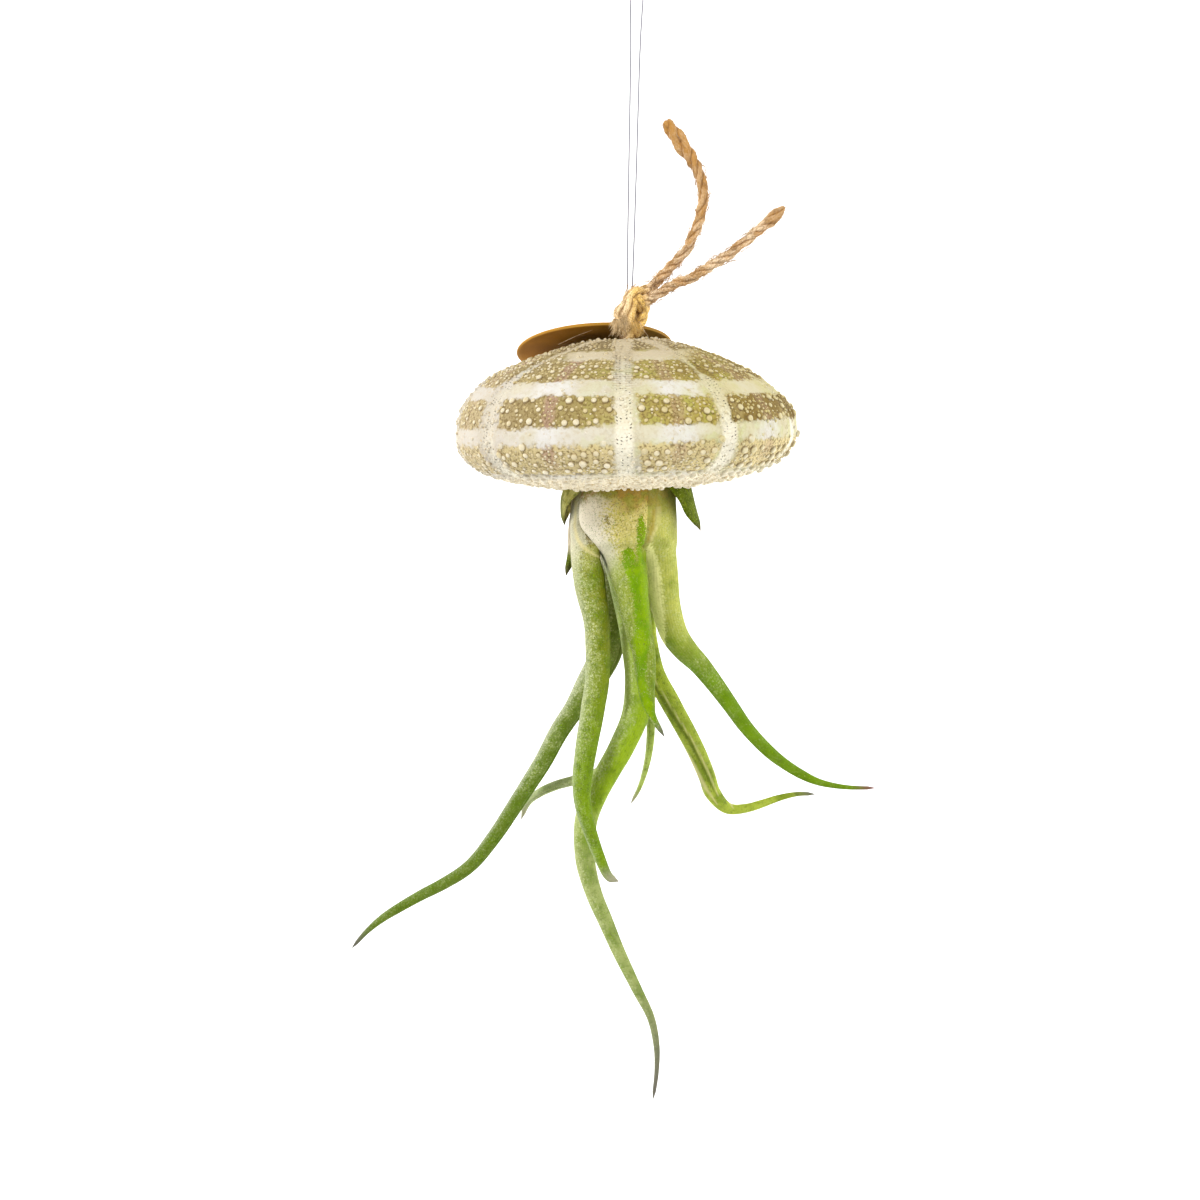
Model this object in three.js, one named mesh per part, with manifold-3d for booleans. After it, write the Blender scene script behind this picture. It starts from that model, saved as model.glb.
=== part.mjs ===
// A medusa head air plant hanging upside down in a sea urchin shell.
//
// The shell hangs on jute twine that is knotted above and below the hole at its top. A clear
// nylon line, doubled over a bight, carries the knot. A round card tag leans on the shell behind
// the knot. The plant's bulb sits in the wide mouth of the shell and its rolled leaves hang down.
//
// Millimetres, +Z up. The origin is the bight of the nylon line, where it goes over its hook.
// +X is to the right and -Y to the front. Azimuths are degrees from the front, positive to the
// right, so that 90 is +X and 180 is the back.

import * as THREE from "three";
import { mergeVertices } from "three/addons/utils/BufferGeometryUtils.js";
import Module from "manifold-3d";

// ---------------------------------------------------------------------------------------------
// Driving dimensions
// ---------------------------------------------------------------------------------------------

// Shell
const SHELL_CENTRE = [0.2, 0, -118.2]; // middle of its widest circle
const SHELL_TILT = 3.2; // degrees, right side up
const SHELL_WALL = 1.7;
const SHELL_TOP_HOLE = 5.5; // radius
const SHELL_MOUTH = 15.6; // radius
const SHELL_COLUMNS = 96;
const SHELL_OUTER_ROWS = 27;
const SHELL_INNER_ROWS = 7;
const SHELL_LEAN = 1.1; // how much higher the left shoulder is than a round one
const TUBERCLE_HEIGHT = 0.8;
const PORE_ZONE_RELIEF = 0.2; // share of the tubercle height left in the pale strips
const PORE_ZONE_HALF_WIDTH = 4; // degrees
const PORE_ZONES = [-50, -1, 36, 75, 108.6, 142.2, 175.8, 209.4, 243, 276.6]; // azimuths

// Outline of the shell from the top hole over the widest circle to the mouth: radius, height
const SHELL_OUTLINE = [
  [SHELL_TOP_HOLE, 24.6],
  [11, 23.7],
  [21.4, 20.7],
  [28.4, 18],
  [34, 14.9],
  [38.7, 10.4],
  [41.2, 6.4],
  [42.1, 2.5],
  [42.1, -0.5],
  [41, -3],
  [38.3, -6],
  [34.5, -8.2],
  [28.4, -10.2],
  [21.5, -11.4],
  [17.4, -12.3],
  [SHELL_MOUTH, -11.6],
];

// Card tag
const TAG_RADIUS = 19.8;
const TAG_THICKNESS = 0.8;
const TAG_CENTRE = [-8.4, 20.8, -96.5]; // middle of its underside
const TAG_SLOPE = 19; // degrees, down to the back
const TAG_TURN = 14; // degrees that it slopes down left of straight back
const TAG_SPIN = 12; // degrees from the top of the slope to the hole, to the right
const TAG_HOLE_RADIUS = 2.4;
const TAG_HOLE_INSET = 3.8; // from the edge to the middle of the hole

// Twine
const TWINE = 3.2; // diameter
const TWINE_SIDES = 8;
const KNOT_AXIS = [0.2, 0.2];

// Nylon line
const LINE = 0.4; // diameter
const LINE_BIGHT = 1.5; // radius of the turn at the top

// Leaves
const LEAF_SIDES = 7; // points across the back of a leaf, and across its channel
const TIP_RADIUS = 0.42;
const SHEATH_STATIONS = 4; // the last of a leaf's stations that is still its sheath
const LONG_STRETCH = 7.5; // between two stations of the blade

// ---------------------------------------------------------------------------------------------
// Materials
// ---------------------------------------------------------------------------------------------

function matte(color, roughness) {
  return new THREE.MeshStandardMaterial({ color, roughness, metalness: 0 });
}

const shellMaterial = matte(0xb9ab8a, 0.8);
const cardMaterial = matte(0x8a6230, 0.85);
const twineMaterial = matte(0xc09a5e, 0.95);
const lineMaterial = matte(0xe8ecee, 0.15);
const stemMaterial = matte(0x8b7a4a, 0.9);
const leafMaterial = matte(0x86a054, 0.7);
const bractMaterial = matte(0x6f7f4a, 0.8);

// ---------------------------------------------------------------------------------------------
// Solids
// ---------------------------------------------------------------------------------------------

const wasm = await Module();
wasm.setup();

function toSolid(geometry) {
  const bare = geometry.clone();
  bare.deleteAttribute("normal");
  bare.deleteAttribute("uv");
  const merged = mergeVertices(bare, 1e-4);
  return new wasm.Manifold(
    new wasm.Mesh({
      numProp: 3,
      vertProperties: merged.attributes.position.array,
      triVerts: new Uint32Array(merged.index.array),
    }),
  );
}

function toGeometry(solid) {
  const mesh = solid.getMesh();
  const geometry = new THREE.BufferGeometry();
  geometry.setAttribute("position", new THREE.BufferAttribute(mesh.vertProperties, 3));
  geometry.setIndex(new THREE.BufferAttribute(mesh.triVerts, 1));
  return geometry;
}

function named(name, geometry, material) {
  const mesh = new THREE.Mesh(geometry, material);
  mesh.name = name;
  return mesh;
}

// Faces between each ring of points and the next. Rings go round counter-clockwise when they are
// looked at against the way that they follow each other. The facets of a studded surface meet
// four and four at every second point, which makes a stud of a point that is raised.
function ringFaces(ringCount, ringSize, { closed = false, studded = false }) {
  const faces = [];
  const last = closed ? ringCount : ringCount - 1;
  for (let i = 0; i < last; i += 1) {
    const here = i * ringSize;
    const next = ((i + 1) % ringCount) * ringSize;
    for (let j = 0; j < ringSize; j += 1) {
      const k = (j + 1) % ringSize;
      if (studded && (i + j) % 2 === 1) {
        faces.push(here + j, here + k, next + k);
        faces.push(here + j, next + k, next + j);
      } else {
        faces.push(here + j, here + k, next + j);
        faces.push(here + k, next + k, next + j);
      }
    }
  }
  return faces;
}

function geometryOf(points, faces) {
  const geometry = new THREE.BufferGeometry().setFromPoints(points);
  geometry.setIndex(faces);
  return geometry;
}

// Steps are shared out by the route's points, so that a tight turn gets as many as it has points.
function tube(points, diameter, steps, sides = TWINE_SIDES) {
  const section = new THREE.Shape();
  for (let i = 0; i < sides; i += 1) {
    const turn = (2 * Math.PI * i) / sides;
    const x = (diameter / 2) * Math.cos(turn);
    const y = (diameter / 2) * Math.sin(turn);
    if (i === 0) section.moveTo(x, y);
    else section.lineTo(x, y);
  }
  const route = new THREE.CatmullRomCurve3(points.map((p) => new THREE.Vector3(...p)));
  route.getUtoTmapping = (share) => share;
  return new THREE.ExtrudeGeometry(section, { steps, extrudePath: route, curveSegments: 1 });
}

// A unit vector in the level plane at an azimuth
function heading(azimuth) {
  const turn = THREE.MathUtils.degToRad(azimuth);
  return new THREE.Vector3(Math.sin(turn), -Math.cos(turn), 0);
}

// ---------------------------------------------------------------------------------------------
// Shell
// ---------------------------------------------------------------------------------------------

function poreZoneRelief(azimuth) {
  const distances = PORE_ZONES.map((zone) => Math.abs(((azimuth - zone + 540) % 360) - 180));
  return Math.min(...distances) < PORE_ZONE_HALF_WIDTH ? PORE_ZONE_RELIEF : 1;
}

// The left shoulder of the shell stands a little higher, most at half way up the dome.
function shoulderLean(height, direction) {
  const top = SHELL_OUTLINE[0][1];
  const rise = Math.max(0, height) / top;
  return -SHELL_LEAN * direction.x * Math.sin(Math.PI * rise) ** 2;
}

function shellPoint(radius, height, azimuth) {
  const direction = heading(azimuth);
  const lean = shoulderLean(height, direction);
  return new THREE.Vector3(direction.x * radius, direction.y * radius, height + lean);
}

function shellGeometry() {
  const outline = new THREE.SplineCurve(SHELL_OUTLINE.map((p) => new THREE.Vector2(...p)));
  const points = [];
  for (let i = 0; i <= SHELL_OUTER_ROWS; i += 1) {
    const place = outline.getPointAt(i / SHELL_OUTER_ROWS);
    const along = outline.getTangentAt(i / SHELL_OUTER_ROWS);
    const edge = i === 0 || i === SHELL_OUTER_ROWS;
    for (let j = 0; j < SHELL_COLUMNS; j += 1) {
      const azimuth = (-360 * j) / SHELL_COLUMNS;
      const raised = (i + j) % 2 === 0 && !edge;
      const height = raised ? TUBERCLE_HEIGHT * poreZoneRelief(azimuth) : 0;
      points.push(shellPoint(place.x - along.y * height, place.y + along.x * height, azimuth));
    }
  }
  for (let i = SHELL_INNER_ROWS; i >= 0; i -= 1) {
    const place = outline.getPointAt(i / SHELL_INNER_ROWS);
    const along = outline.getTangentAt(i / SHELL_INNER_ROWS);
    for (let j = 0; j < SHELL_COLUMNS; j += 1) {
      const azimuth = (-360 * j) / SHELL_COLUMNS;
      const radius = place.x + along.y * SHELL_WALL;
      points.push(shellPoint(radius, place.y - along.x * SHELL_WALL, azimuth));
    }
  }
  const ringCount = points.length / SHELL_COLUMNS;
  const shape = { closed: true, studded: true };
  return geometryOf(points, ringFaces(ringCount, SHELL_COLUMNS, shape));
}

function makeShell() {
  const shell = named("urchin_shell", shellGeometry(), shellMaterial);
  shell.position.set(...SHELL_CENTRE);
  shell.rotation.y = THREE.MathUtils.degToRad(-SHELL_TILT);
  return shell;
}

// ---------------------------------------------------------------------------------------------
// Card tag
// ---------------------------------------------------------------------------------------------

const tagPlace = new THREE.Matrix4().compose(
  new THREE.Vector3(...TAG_CENTRE),
  new THREE.Quaternion().setFromEuler(
    new THREE.Euler(
      THREE.MathUtils.degToRad(-TAG_SLOPE),
      0,
      THREE.MathUtils.degToRad(TAG_TURN),
      "ZXY",
    ),
  ),
  new THREE.Vector3(1, 1, 1),
);

const tagHole = heading(TAG_SPIN).multiplyScalar(TAG_RADIUS - TAG_HOLE_INSET);
const tagHoleMiddle = tagHole.clone().setZ(TAG_THICKNESS / 2).applyMatrix4(tagPlace);

function makeTag() {
  const outline = new THREE.Shape().absarc(0, 0, TAG_RADIUS, 0, 2 * Math.PI);
  const hole = new THREE.Path().absarc(tagHole.x, tagHole.y, TAG_HOLE_RADIUS, 0, 2 * Math.PI);
  outline.holes.push(hole);
  const geometry = new THREE.ExtrudeGeometry(outline, {
    depth: TAG_THICKNESS,
    bevelEnabled: false,
    curveSegments: 20,
  });
  const tag = named("card_tag", geometry, cardMaterial);
  tag.applyMatrix4(tagPlace);
  return tag;
}

// ---------------------------------------------------------------------------------------------
// Twine
// ---------------------------------------------------------------------------------------------

const [KNOT_X, KNOT_Y] = KNOT_AXIS;

const FRONT_STRAND = [
  [KNOT_X, KNOT_Y - 1.6, -86],
  [KNOT_X - 0.3, KNOT_Y - 2, -90],
  [KNOT_X, KNOT_Y - 1.9, -94],
  [KNOT_X, KNOT_Y - 1.2, -99],
];
// Down through the hole in the tag, and forward between its edge and the shell's
const REAR_STRAND = [
  [KNOT_X, KNOT_Y + 1.4, -85.6],
  [tagHoleMiddle.x + 0.3, tagHoleMiddle.y, tagHoleMiddle.z + 2.4],
  tagHoleMiddle.toArray(),
  [tagHoleMiddle.x + 0.4, tagHoleMiddle.y - 1.5, tagHoleMiddle.z - 1],
  [KNOT_X - 1.4, KNOT_Y + 3.9, -92.3],
  [KNOT_X - 0.6, KNOT_Y + 2.4, -94.4],
  [KNOT_X, KNOT_Y + 1, -99],
];
// The last stretch of each tail inside the knot
const LONG_STUB = [
  [KNOT_X - 1.8, KNOT_Y - 1.4, -88.6],
  [KNOT_X - 0.9, KNOT_Y - 2, -86],
  [KNOT_X + 1.2, KNOT_Y - 1, -83.8],
  [KNOT_X + 3.2, KNOT_Y + 0.2, -82.8],
  [4.6, 0.5, -81.6],
];
const SHORT_STUB = [
  [KNOT_X - 1, KNOT_Y - 2.4, -88],
  [KNOT_X + 1.4, KNOT_Y - 2.8, -86],
  [KNOT_X + 2.8, KNOT_Y - 2.7, -85],
  [4.6, -2.6, -83.9],
];
const LONG_TAIL = [
  [5.05, 0.5, -81.2],
  [7, 0.2, -78.8],
  [9.6, -0.2, -76],
  [13.3, -0.6, -71.9],
  [15.9, -1, -66.7],
  [17.3, -1.4, -61.7],
  [17.7, -1.7, -57],
  [16.6, -1.8, -52.3],
  [14.5, -1.6, -48.7],
  [12.2, -1.3, -45.3],
  [10.1, -1, -42.6],
  [8, -0.6, -39.4],
];
const SHORT_TAIL = [
  [4.9, -2.6, -83.7],
  [7.5, -2.7, -82.1],
  [10.6, -2.9, -80],
  [15.2, -3.4, -78.1],
  [19.9, -4, -75.1],
  [24.8, -4.6, -71.8],
  [29.4, -5, -67.8],
  [34, -5.4, -63.9],
  [37.8, -5.6, -60],
];

// One turn of twine: how far it lies right of the knot's axis, its height, its radius, its tilt
// and the way that it leans
function knotTurn(right, height, radius, tilt, lean) {
  const turn = new THREE.TorusGeometry(radius, TWINE / 2, 6, 12);
  turn.rotateX(THREE.MathUtils.degToRad(tilt));
  turn.rotateZ(THREE.MathUtils.degToRad(lean));
  turn.translate(KNOT_X + right, KNOT_Y, height);
  return toSolid(turn);
}

function makeKnot() {
  const core = new THREE.CylinderGeometry(1.6, 1.6, 6.4, 8).rotateX(Math.PI / 2);
  core.translate(KNOT_X + 0.2, KNOT_Y, -86);
  const stopper = new THREE.CylinderGeometry(3.6, 3.6, 5, 8).rotateX(Math.PI / 2);
  stopper.translate(KNOT_X, KNOT_Y, -100.4);
  const solid = toSolid(core)
    .add(toSolid(tube(FRONT_STRAND, TWINE - 0.4, 10)))
    .add(toSolid(tube(REAR_STRAND, TWINE - 0.8, 16)))
    .add(toSolid(tube(LONG_STUB, TWINE, 8)))
    .add(toSolid(tube(SHORT_STUB, TWINE, 6)))
    .add(knotTurn(0, -88.6, 2.4, 14, 20))
    .add(knotTurn(0.3, -85.8, 2.1, -18, -30))
    .add(knotTurn(1.1, -83.4, 1.5, 24, 60))
    .add(toSolid(stopper))
    .add(knotTurn(0, -99, 4.6, 8, 40))
    .add(knotTurn(0, -101.6, 4.2, -10, 0));
  return named("twine_knot", toGeometry(solid), twineMaterial);
}

// ---------------------------------------------------------------------------------------------
// Nylon line
// ---------------------------------------------------------------------------------------------

const LINE_SPREAD = LINE_BIGHT + LINE / 2;

function lineRoute() {
  const route = [
    [-0.5, 1.6, -81.2],
    [-0.65, 1.5, -75],
    [-0.9, 1, -50],
    [-1.2, 0.4, -20],
    [-LINE_SPREAD, 0.1, -4],
  ];
  for (const turn of [180, 150, 120, 90, 60, 30, 0]) {
    const angle = THREE.MathUtils.degToRad(turn);
    route.push([LINE_BIGHT * Math.cos(angle), 0, LINE_BIGHT * (Math.sin(angle) - 1) - LINE / 2]);
  }
  route.push([LINE_SPREAD, 0.1, -4], [1.2, 0.4, -20], [1, 1, -50], [0.8, 1.5, -75]);
  route.push([0.7, 1.6, -80.9]);
  return route;
}

// ---------------------------------------------------------------------------------------------
// Plant
// ---------------------------------------------------------------------------------------------

// A leaf is a sheet rolled round its own channel. Each station is the middle of the roll, its
// outer radius, the thickness of the sheet and how far the sheet reaches round on each side,
// in degrees from the middle of its back: x, y, z, radius, thickness, reach. The back faces the
// leaf's azimuth at its sheath, is carried along the leaf without twist, and then turned by its
// share of the twist.
const LEAVES = {
  leaf_front: {
    azimuth: -16,
    twist: 0,
    stations: [
      [0, -0.4, -115, 7, 1, 35],
      [0, -0.4, -122, 11.8, 1, 35],
      [0, -0.4, -131, 13, 1, 35],
      [0, -0.4, -140, 13.3, 1, 35],
      [0.4, -3.2, -143.8, 10.3, 1.2, 38],
      [0.6, -6, -147.4, 6.4, 1.3, 66],
      [2.2, -10.2, -154.5, 4.4, 1.4, 126],
      [4, -12.5, -164, 3.5, 1.3, 158],
      [5.7, -13.5, -170.6, 2.9, 1.2, 162],
      [6.4, -14.5, -177.4, 2.4, 1.1, 164],
      [6.9, -15.5, -182.3, 1.7, 0.9, 164],
      [8.2, -16.5, -186.2, 1, 0.8, 164],
      [11.3, -18, -191.1, TIP_RADIUS, 0.36, 164],
    ],
  },
  leaf_front_left: {
    azimuth: -92,
    twist: 0,
    stations: [
      [0, 0, -115, 6, 0.9, 38],
      [0, 0, -122, 10.6, 0.9, 38],
      [-0.5, 0.2, -131, 11.9, 0.9, 38],
      [-0.9, 0.1, -140, 12.4, 1, 38],
      [-4, -1.6, -143.8, 9.2, 1.1, 52],
      [-8.2, -4.6, -147.6, 4.9, 1.3, 100],
      [-7.9, -6.9, -154.5, 4.1, 1.3, 144],
      [-6, -9.5, -164.5, 3.3, 1.2, 162],
      [-5.6, -11.5, -178, 3.1, 1.2, 164],
      [-6.4, -12.5, -184.6, 3.05, 1.2, 164],
      [-7.8, -14, -194.2, 2.8, 1.1, 164],
      [-8.7, -15.5, -202, 2.5, 1.1, 164],
      [-8.4, -16.7, -208.5, 2.1, 1, 164],
      [-6.4, -18.2, -215, 1.7, 0.9, 164],
      [-3.7, -20, -221, 1.2, 0.8, 164],
      [-1.3, -21.5, -224.9, 0.7, 0.6, 164],
      [0.9, -22, -225.7, TIP_RADIUS, 0.36, 164],
    ],
  },
  leaf_right: {
    azimuth: 84,
    twist: 0,
    stations: [
      [0, 0, -115, 6, 0.9, 57],
      [0, 0, -122, 10.6, 0.9, 57],
      [0.6, 0.2, -131, 12.2, 0.9, 57],
      [0.9, 0.1, -140, 12.4, 1, 58],
      [4.4, 0.2, -143.8, 9.2, 1.15, 62],
      [8, 0.6, -147.6, 5.6, 1.3, 86],
      [10, 1.2, -155, 4.3, 1.4, 136],
      [11.2, 3, -161, 3.8, 1.3, 156],
      [13.6, 4, -167.6, 3.5, 1.2, 162],
      [16.8, 5, -171.8, 3.05, 1.1, 164],
      [20.7, 6, -175.7, 2.6, 1.1, 164],
      [27.9, 8.5, -184.9, 2.05, 1, 164],
      [32.5, 10, -191.1, 1.8, 0.9, 164],
      [38.5, 11.5, -197.2, 1.6, 0.9, 164],
      [42.4, 12.5, -200.2, 1.4, 0.9, 164],
      [47.4, 14, -203.2, 1.2, 0.8, 164],
      [51.7, 15, -205, 0.9, 0.7, 164],
      [58.5, 16.5, -206.2, 0.6, 0.5, 164],
      [65.9, 18, -206.4, TIP_RADIUS, 0.36, 164],
    ],
  },
  leaf_back_left: {
    azimuth: -159,
    twist: 0,
    stations: [
      [0, 0, -115, 6, 0.9, 18],
      [0, 0, -122, 10.6, 0.9, 18],
      [0, 0.4, -131, 12.2, 0.9, 18],
      [0, 0.8, -140, 12.4, 1, 19],
      [-1.6, 5.4, -143.8, 8.2, 1.1, 24],
      [-3, 10.2, -148, 4, 1.2, 56],
      [-1.4, 15.2, -157, 2.7, 1.1, 112],
      [3, 15.4, -170, 2.1, 1, 158],
      [5.6, 15, -184, 1.7, 0.9, 162],
      [3.1, 18, -196, 1.5, 0.9, 162],
      [-3.1, 20, -203.4, 1.4, 0.9, 162],
      [-9.9, 22, -206.4, 1.3, 0.9, 162],
      [-15.6, 24, -208.4, 1.25, 0.8, 162],
      [-19.9, 26, -210.7, 1.15, 0.8, 162],
      [-22.8, 27.5, -213.5, 0.9, 0.7, 162],
      [-24.4, 29, -218, TIP_RADIUS, 0.36, 162],
    ],
  },
  leaf_back: {
    azimuth: 162,
    twist: 0,
    stations: [
      [0, 0, -115, 6, 0.9, 15],
      [0, 0, -122, 10.6, 0.9, 15],
      [0, 0.4, -131, 12.2, 0.9, 15],
      [0, 0.8, -140, 12.4, 1, 16],
      [1.9, 5.6, -143.8, 8.1, 1.1, 20],
      [3.4, 10.6, -148, 3.6, 1.1, 48],
      [5.8, 15.6, -157, 2.3, 1.1, 110],
      [7.6, 18, -170, 1.7, 1, 150],
      [8, 19, -182.6, 1.3, 0.9, 160],
      [8.3, 21, -195.7, 1.05, 0.8, 160],
      [7.6, 23, -202.1, 0.85, 0.7, 160],
      [5.9, 25, -208.5, 0.6, 0.5, 160],
      [3.8, 26.5, -212.9, TIP_RADIUS, 0.36, 160],
    ],
  },
  leaf_long: {
    azimuth: 0,
    twist: 0,
    stations: [
      [0, 0, -115, 4.8, 0.6, 74],
      [0, 0, -122, 9, 1, 74],
      [0, 0, -131, 10.6, 1.2, 74],
      [0, 0, -140, 10.3, 1.3, 74],
      [0.2, -0.4, -143.8, 8.8, 1.35, 78],
      [0.6, -1, -149, 6, 1.4, 92],
      [1.8, -1, -158.5, 4, 1.5, 156],
      [4.6, -3, -172.6, 3.95, 1.4, 162],
      [5, -4, -180.9, 3.75, 1.4, 163],
      [3.7, -4.5, -188.4, 3.4, 1.3, 164],
      [0.7, -5, -195.4, 3.2, 1.3, 164],
      [-2.2, -5.5, -200.9, 3.05, 1.2, 164],
      [-5.4, -6, -207, 3, 1.2, 164],
      [-7.6, -6.5, -214, 2.85, 1.2, 164],
      [-7.5, -7, -223.4, 2.5, 1.1, 164],
      [-5.5, -7, -230.9, 2.15, 1.1, 164],
      [-2.1, -7.5, -238.6, 1.9, 1, 164],
      [2, -8, -247.4, 1.6, 0.9, 164],
      [6.4, -8, -255.9, 1.3, 0.9, 164],
      [9.9, -8, -262.8, 1, 0.8, 164],
      [11.4, -8, -269.5, 0.8, 0.6, 164],
      [11.6, -8, -276, 0.6, 0.5, 164],
      [10.9, -8, -283, TIP_RADIUS, 0.36, 164],
    ],
  },
  leaf_left_long: {
    azimuth: -130,
    twist: 0,
    stations: [
      [0, 0, -115, 4.8, 0.6, 50],
      [0, 0, -122, 9, 1, 50],
      [0, 0, -131, 10.6, 1.2, 50],
      [0, 0.4, -140, 10.2, 1.3, 50],
      [-0.9, 3, -143.8, 7.2, 1.35, 62],
      [-1.8, 5.6, -147.6, 4.8, 1.4, 92],
      [-2.2, 8, -158, 3.6, 1.4, 146],
      [-2.4, 8.8, -172.6, 3.3, 1.3, 162],
      [-6.4, 11, -181.4, 2.95, 1.2, 164],
      [-10.6, 12.5, -187, 2.65, 1.1, 164],
      [-14.7, 14, -193, 2.5, 1.1, 164],
      [-19.3, 16, -202.1, 2.3, 1.1, 164],
      [-23.1, 18, -208.6, 2.15, 1, 164],
      [-30.9, 21.5, -221.5, 1.9, 1, 164],
      [-35.6, 23, -228, 1.75, 1, 164],
      [-39.1, 24, -231.4, 1.65, 1, 164],
      [-44.1, 25.5, -234.8, 1.55, 0.9, 164],
      [-50, 27.5, -238.3, 1.4, 0.9, 164],
      [-55.6, 29.5, -241.9, 1.25, 0.8, 164],
      [-60.3, 31, -245.3, 1, 0.7, 164],
      [-64, 32.5, -248.8, 0.7, 0.5, 164],
      [-67.7, 34, -253.3, TIP_RADIUS, 0.36, 164],
    ],
  },
  leaf_right_channelled: {
    azimuth: 122,
    twist: 100,
    stations: [
      [0, 0, -115, 4.8, 0.6, 42],
      [0, 0, -122, 9, 1, 42],
      [0, 0, -131, 10.6, 1.2, 42],
      [0, 0.4, -140, 10.2, 1.3, 42],
      [1.6, 3.6, -143.8, 7, 1.3, 52],
      [3, 7.4, -147.6, 4.4, 1.3, 70],
      [5.2, 9.4, -155, 3.4, 1.2, 110],
      [6.8, 10.2, -162.5, 2.9, 1.2, 140],
      [8.9, 12.5, -177, 2.8, 1.2, 150],
      [13.1, 14.5, -185.8, 2.7, 1.1, 152],
      [16.7, 16, -192, 2.55, 1.1, 154],
      [20.2, 18, -198.4, 2.4, 1.1, 156],
      [23, 20, -204.7, 2.25, 1, 158],
      [24.7, 21.2, -209.1, 2.1, 1, 160],
      [29, 23.5, -213.3, 1.5, 0.9, 162],
      [33.4, 25, -213.3, 1.2, 0.9, 162],
      [37.8, 26.5, -212.4, 1.05, 0.8, 162],
      [42.2, 28, -211.1, 0.85, 0.7, 162],
      [46.9, 29.5, -210.1, 0.6, 0.5, 162],
      [51.4, 31, -209.8, TIP_RADIUS, 0.36, 162],
    ],
  },
};

const BRACTS = {
  bract_small: {
    azimuth: -108,
    twist: 0,
    stations: [
      [0, 0, -115, 7.1, 0.6, 16],
      [0, 0, -122, 11.8, 0.6, 16],
      [0, 0, -131, 13.25, 0.6, 15],
      [0, 0, -141, 14.4, 0.7, 12],
      [0, 0, -148, 14.6, 0.8, 8],
      [0, 0, -153.2, 15.2, 0.7, 2],
    ],
  },
  bract_left: {
    azimuth: -92,
    twist: 0,
    stations: [
      [0.2, 0, -115, 8.8, 0.8, 32],
      [0.3, 0, -122, 13.8, 0.8, 50],
      [0.6, 0, -127, 14.9, 0.7, 56],
      [0.7, 0, -131.4, 15.1, 0.7, 52],
      [0, 0, -133.6, 16, 0.8, 36],
      [-0.4, 0, -136, 15.8, 0.8, 16],
      [-0.4, 0, -139.3, 15.3, 0.7, 2],
    ],
  },
  bract_right: {
    azimuth: 88,
    twist: 0,
    stations: [
      [0.2, 0, -115, 8.8, 0.8, 32],
      [0.3, 0, -122, 13.8, 0.8, 50],
      [0.6, 0, -127, 15, 0.7, 56],
      [0.9, 0, -131, 15.2, 0.7, 52],
      [1, 0.2, -133.4, 15.9, 0.8, 42],
      [1.2, 0.4, -136.4, 16.9, 0.8, 20],
      [1.4, 0.6, -140.5, 18, 0.7, 2],
    ],
  },
};

// Where a leaf has its sections: at each station, and half way along a long stretch of blade
function sectionPlaces(middles) {
  const places = [0];
  for (let i = 1; i < middles.length; i += 1) {
    const long = middles[i].distanceTo(middles[i - 1]) > LONG_STRETCH;
    if (long && i > SHEATH_STATIONS) places.push(i - 0.5);
    places.push(i);
  }
  return places;
}

// The numbers of a station, or of a place between two of them
function stationAt(stations, place) {
  const before = Math.min(Math.floor(place), stations.length - 2);
  return stations[before].map((value, i) =>
    THREE.MathUtils.lerp(value, stations[before + 1][i], place - before),
  );
}

// The sections of a sheath lie level. Those of the blade stand square to the line along the
// middle of its back, and two stations bring the one into the other.
function leafSections({ azimuth, twist, stations }) {
  const middles = stations.map(([x, y, z]) => new THREE.Vector3(x, y, z));
  const route = new THREE.CatmullRomCurve3(middles, false, "centripetal");
  const down = new THREE.Vector3(0, 0, -1);
  const sections = [];
  const carried = heading(azimuth);
  const along = down.clone();
  for (const place of sectionPlaces(middles)) {
    const share = place / (stations.length - 1);
    const [, , , radius, thickness, reach] = stationAt(stations, place);
    const freed = THREE.MathUtils.clamp((place - SHEATH_STATIONS) / 2, 0, 1);
    const tangent = down.clone().lerp(route.getTangent(share), freed).normalize();
    carried.applyQuaternion(new THREE.Quaternion().setFromUnitVectors(along, tangent));
    along.copy(tangent);
    const turn = THREE.MathUtils.degToRad(twist * freed * share ** 2);
    const back = carried.clone().applyAxisAngle(tangent, turn);
    const spine = route.getPoint(share).addScaledVector(back, radius);
    sections.push({ spine, back, freed, radius, thickness, reach: THREE.MathUtils.degToRad(reach) });
  }
  sections.forEach((section, i) => {
    const before = sections[Math.max(i - 1, 0)].spine;
    const after = sections[Math.min(i + 1, sections.length - 1)].spine;
    const tangent = after.clone().sub(before).normalize();
    tangent.lerp(down, 1 - section.freed).normalize();
    section.back.addScaledVector(tangent, -section.back.dot(tangent)).normalize();
    section.side = new THREE.Vector3().crossVectors(tangent, section.back);
  });
  return sections;
}

function leafGeometry(leaf) {
  const sections = leafSections(leaf);
  const points = [];
  for (const { spine, back, side, radius, thickness, reach } of sections) {
    const faces = [
      [radius, reach],
      [radius - thickness, -reach],
    ];
    for (const [distance, turn] of faces) {
      for (let j = 0; j < LEAF_SIDES; j += 1) {
        const angle = turn * ((2 * j) / (LEAF_SIDES - 1) - 1);
        const point = spine.clone().addScaledVector(back, distance * Math.cos(angle) - radius);
        points.push(point.addScaledVector(side, distance * Math.sin(angle)));
      }
    }
  }
  const ringSize = 2 * LEAF_SIDES;
  const triangles = ringFaces(sections.length, ringSize, {});
  const end = (sections.length - 1) * ringSize;
  for (let j = 0; j < LEAF_SIDES - 1; j += 1) {
    const across = ringSize - 1 - j;
    triangles.push(j, across, j + 1, j + 1, across, across - 1);
    triangles.push(end + j, end + j + 1, end + across);
    triangles.push(end + j + 1, end + across - 1, end + across);
  }
  return geometryOf(points, triangles);
}

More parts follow.
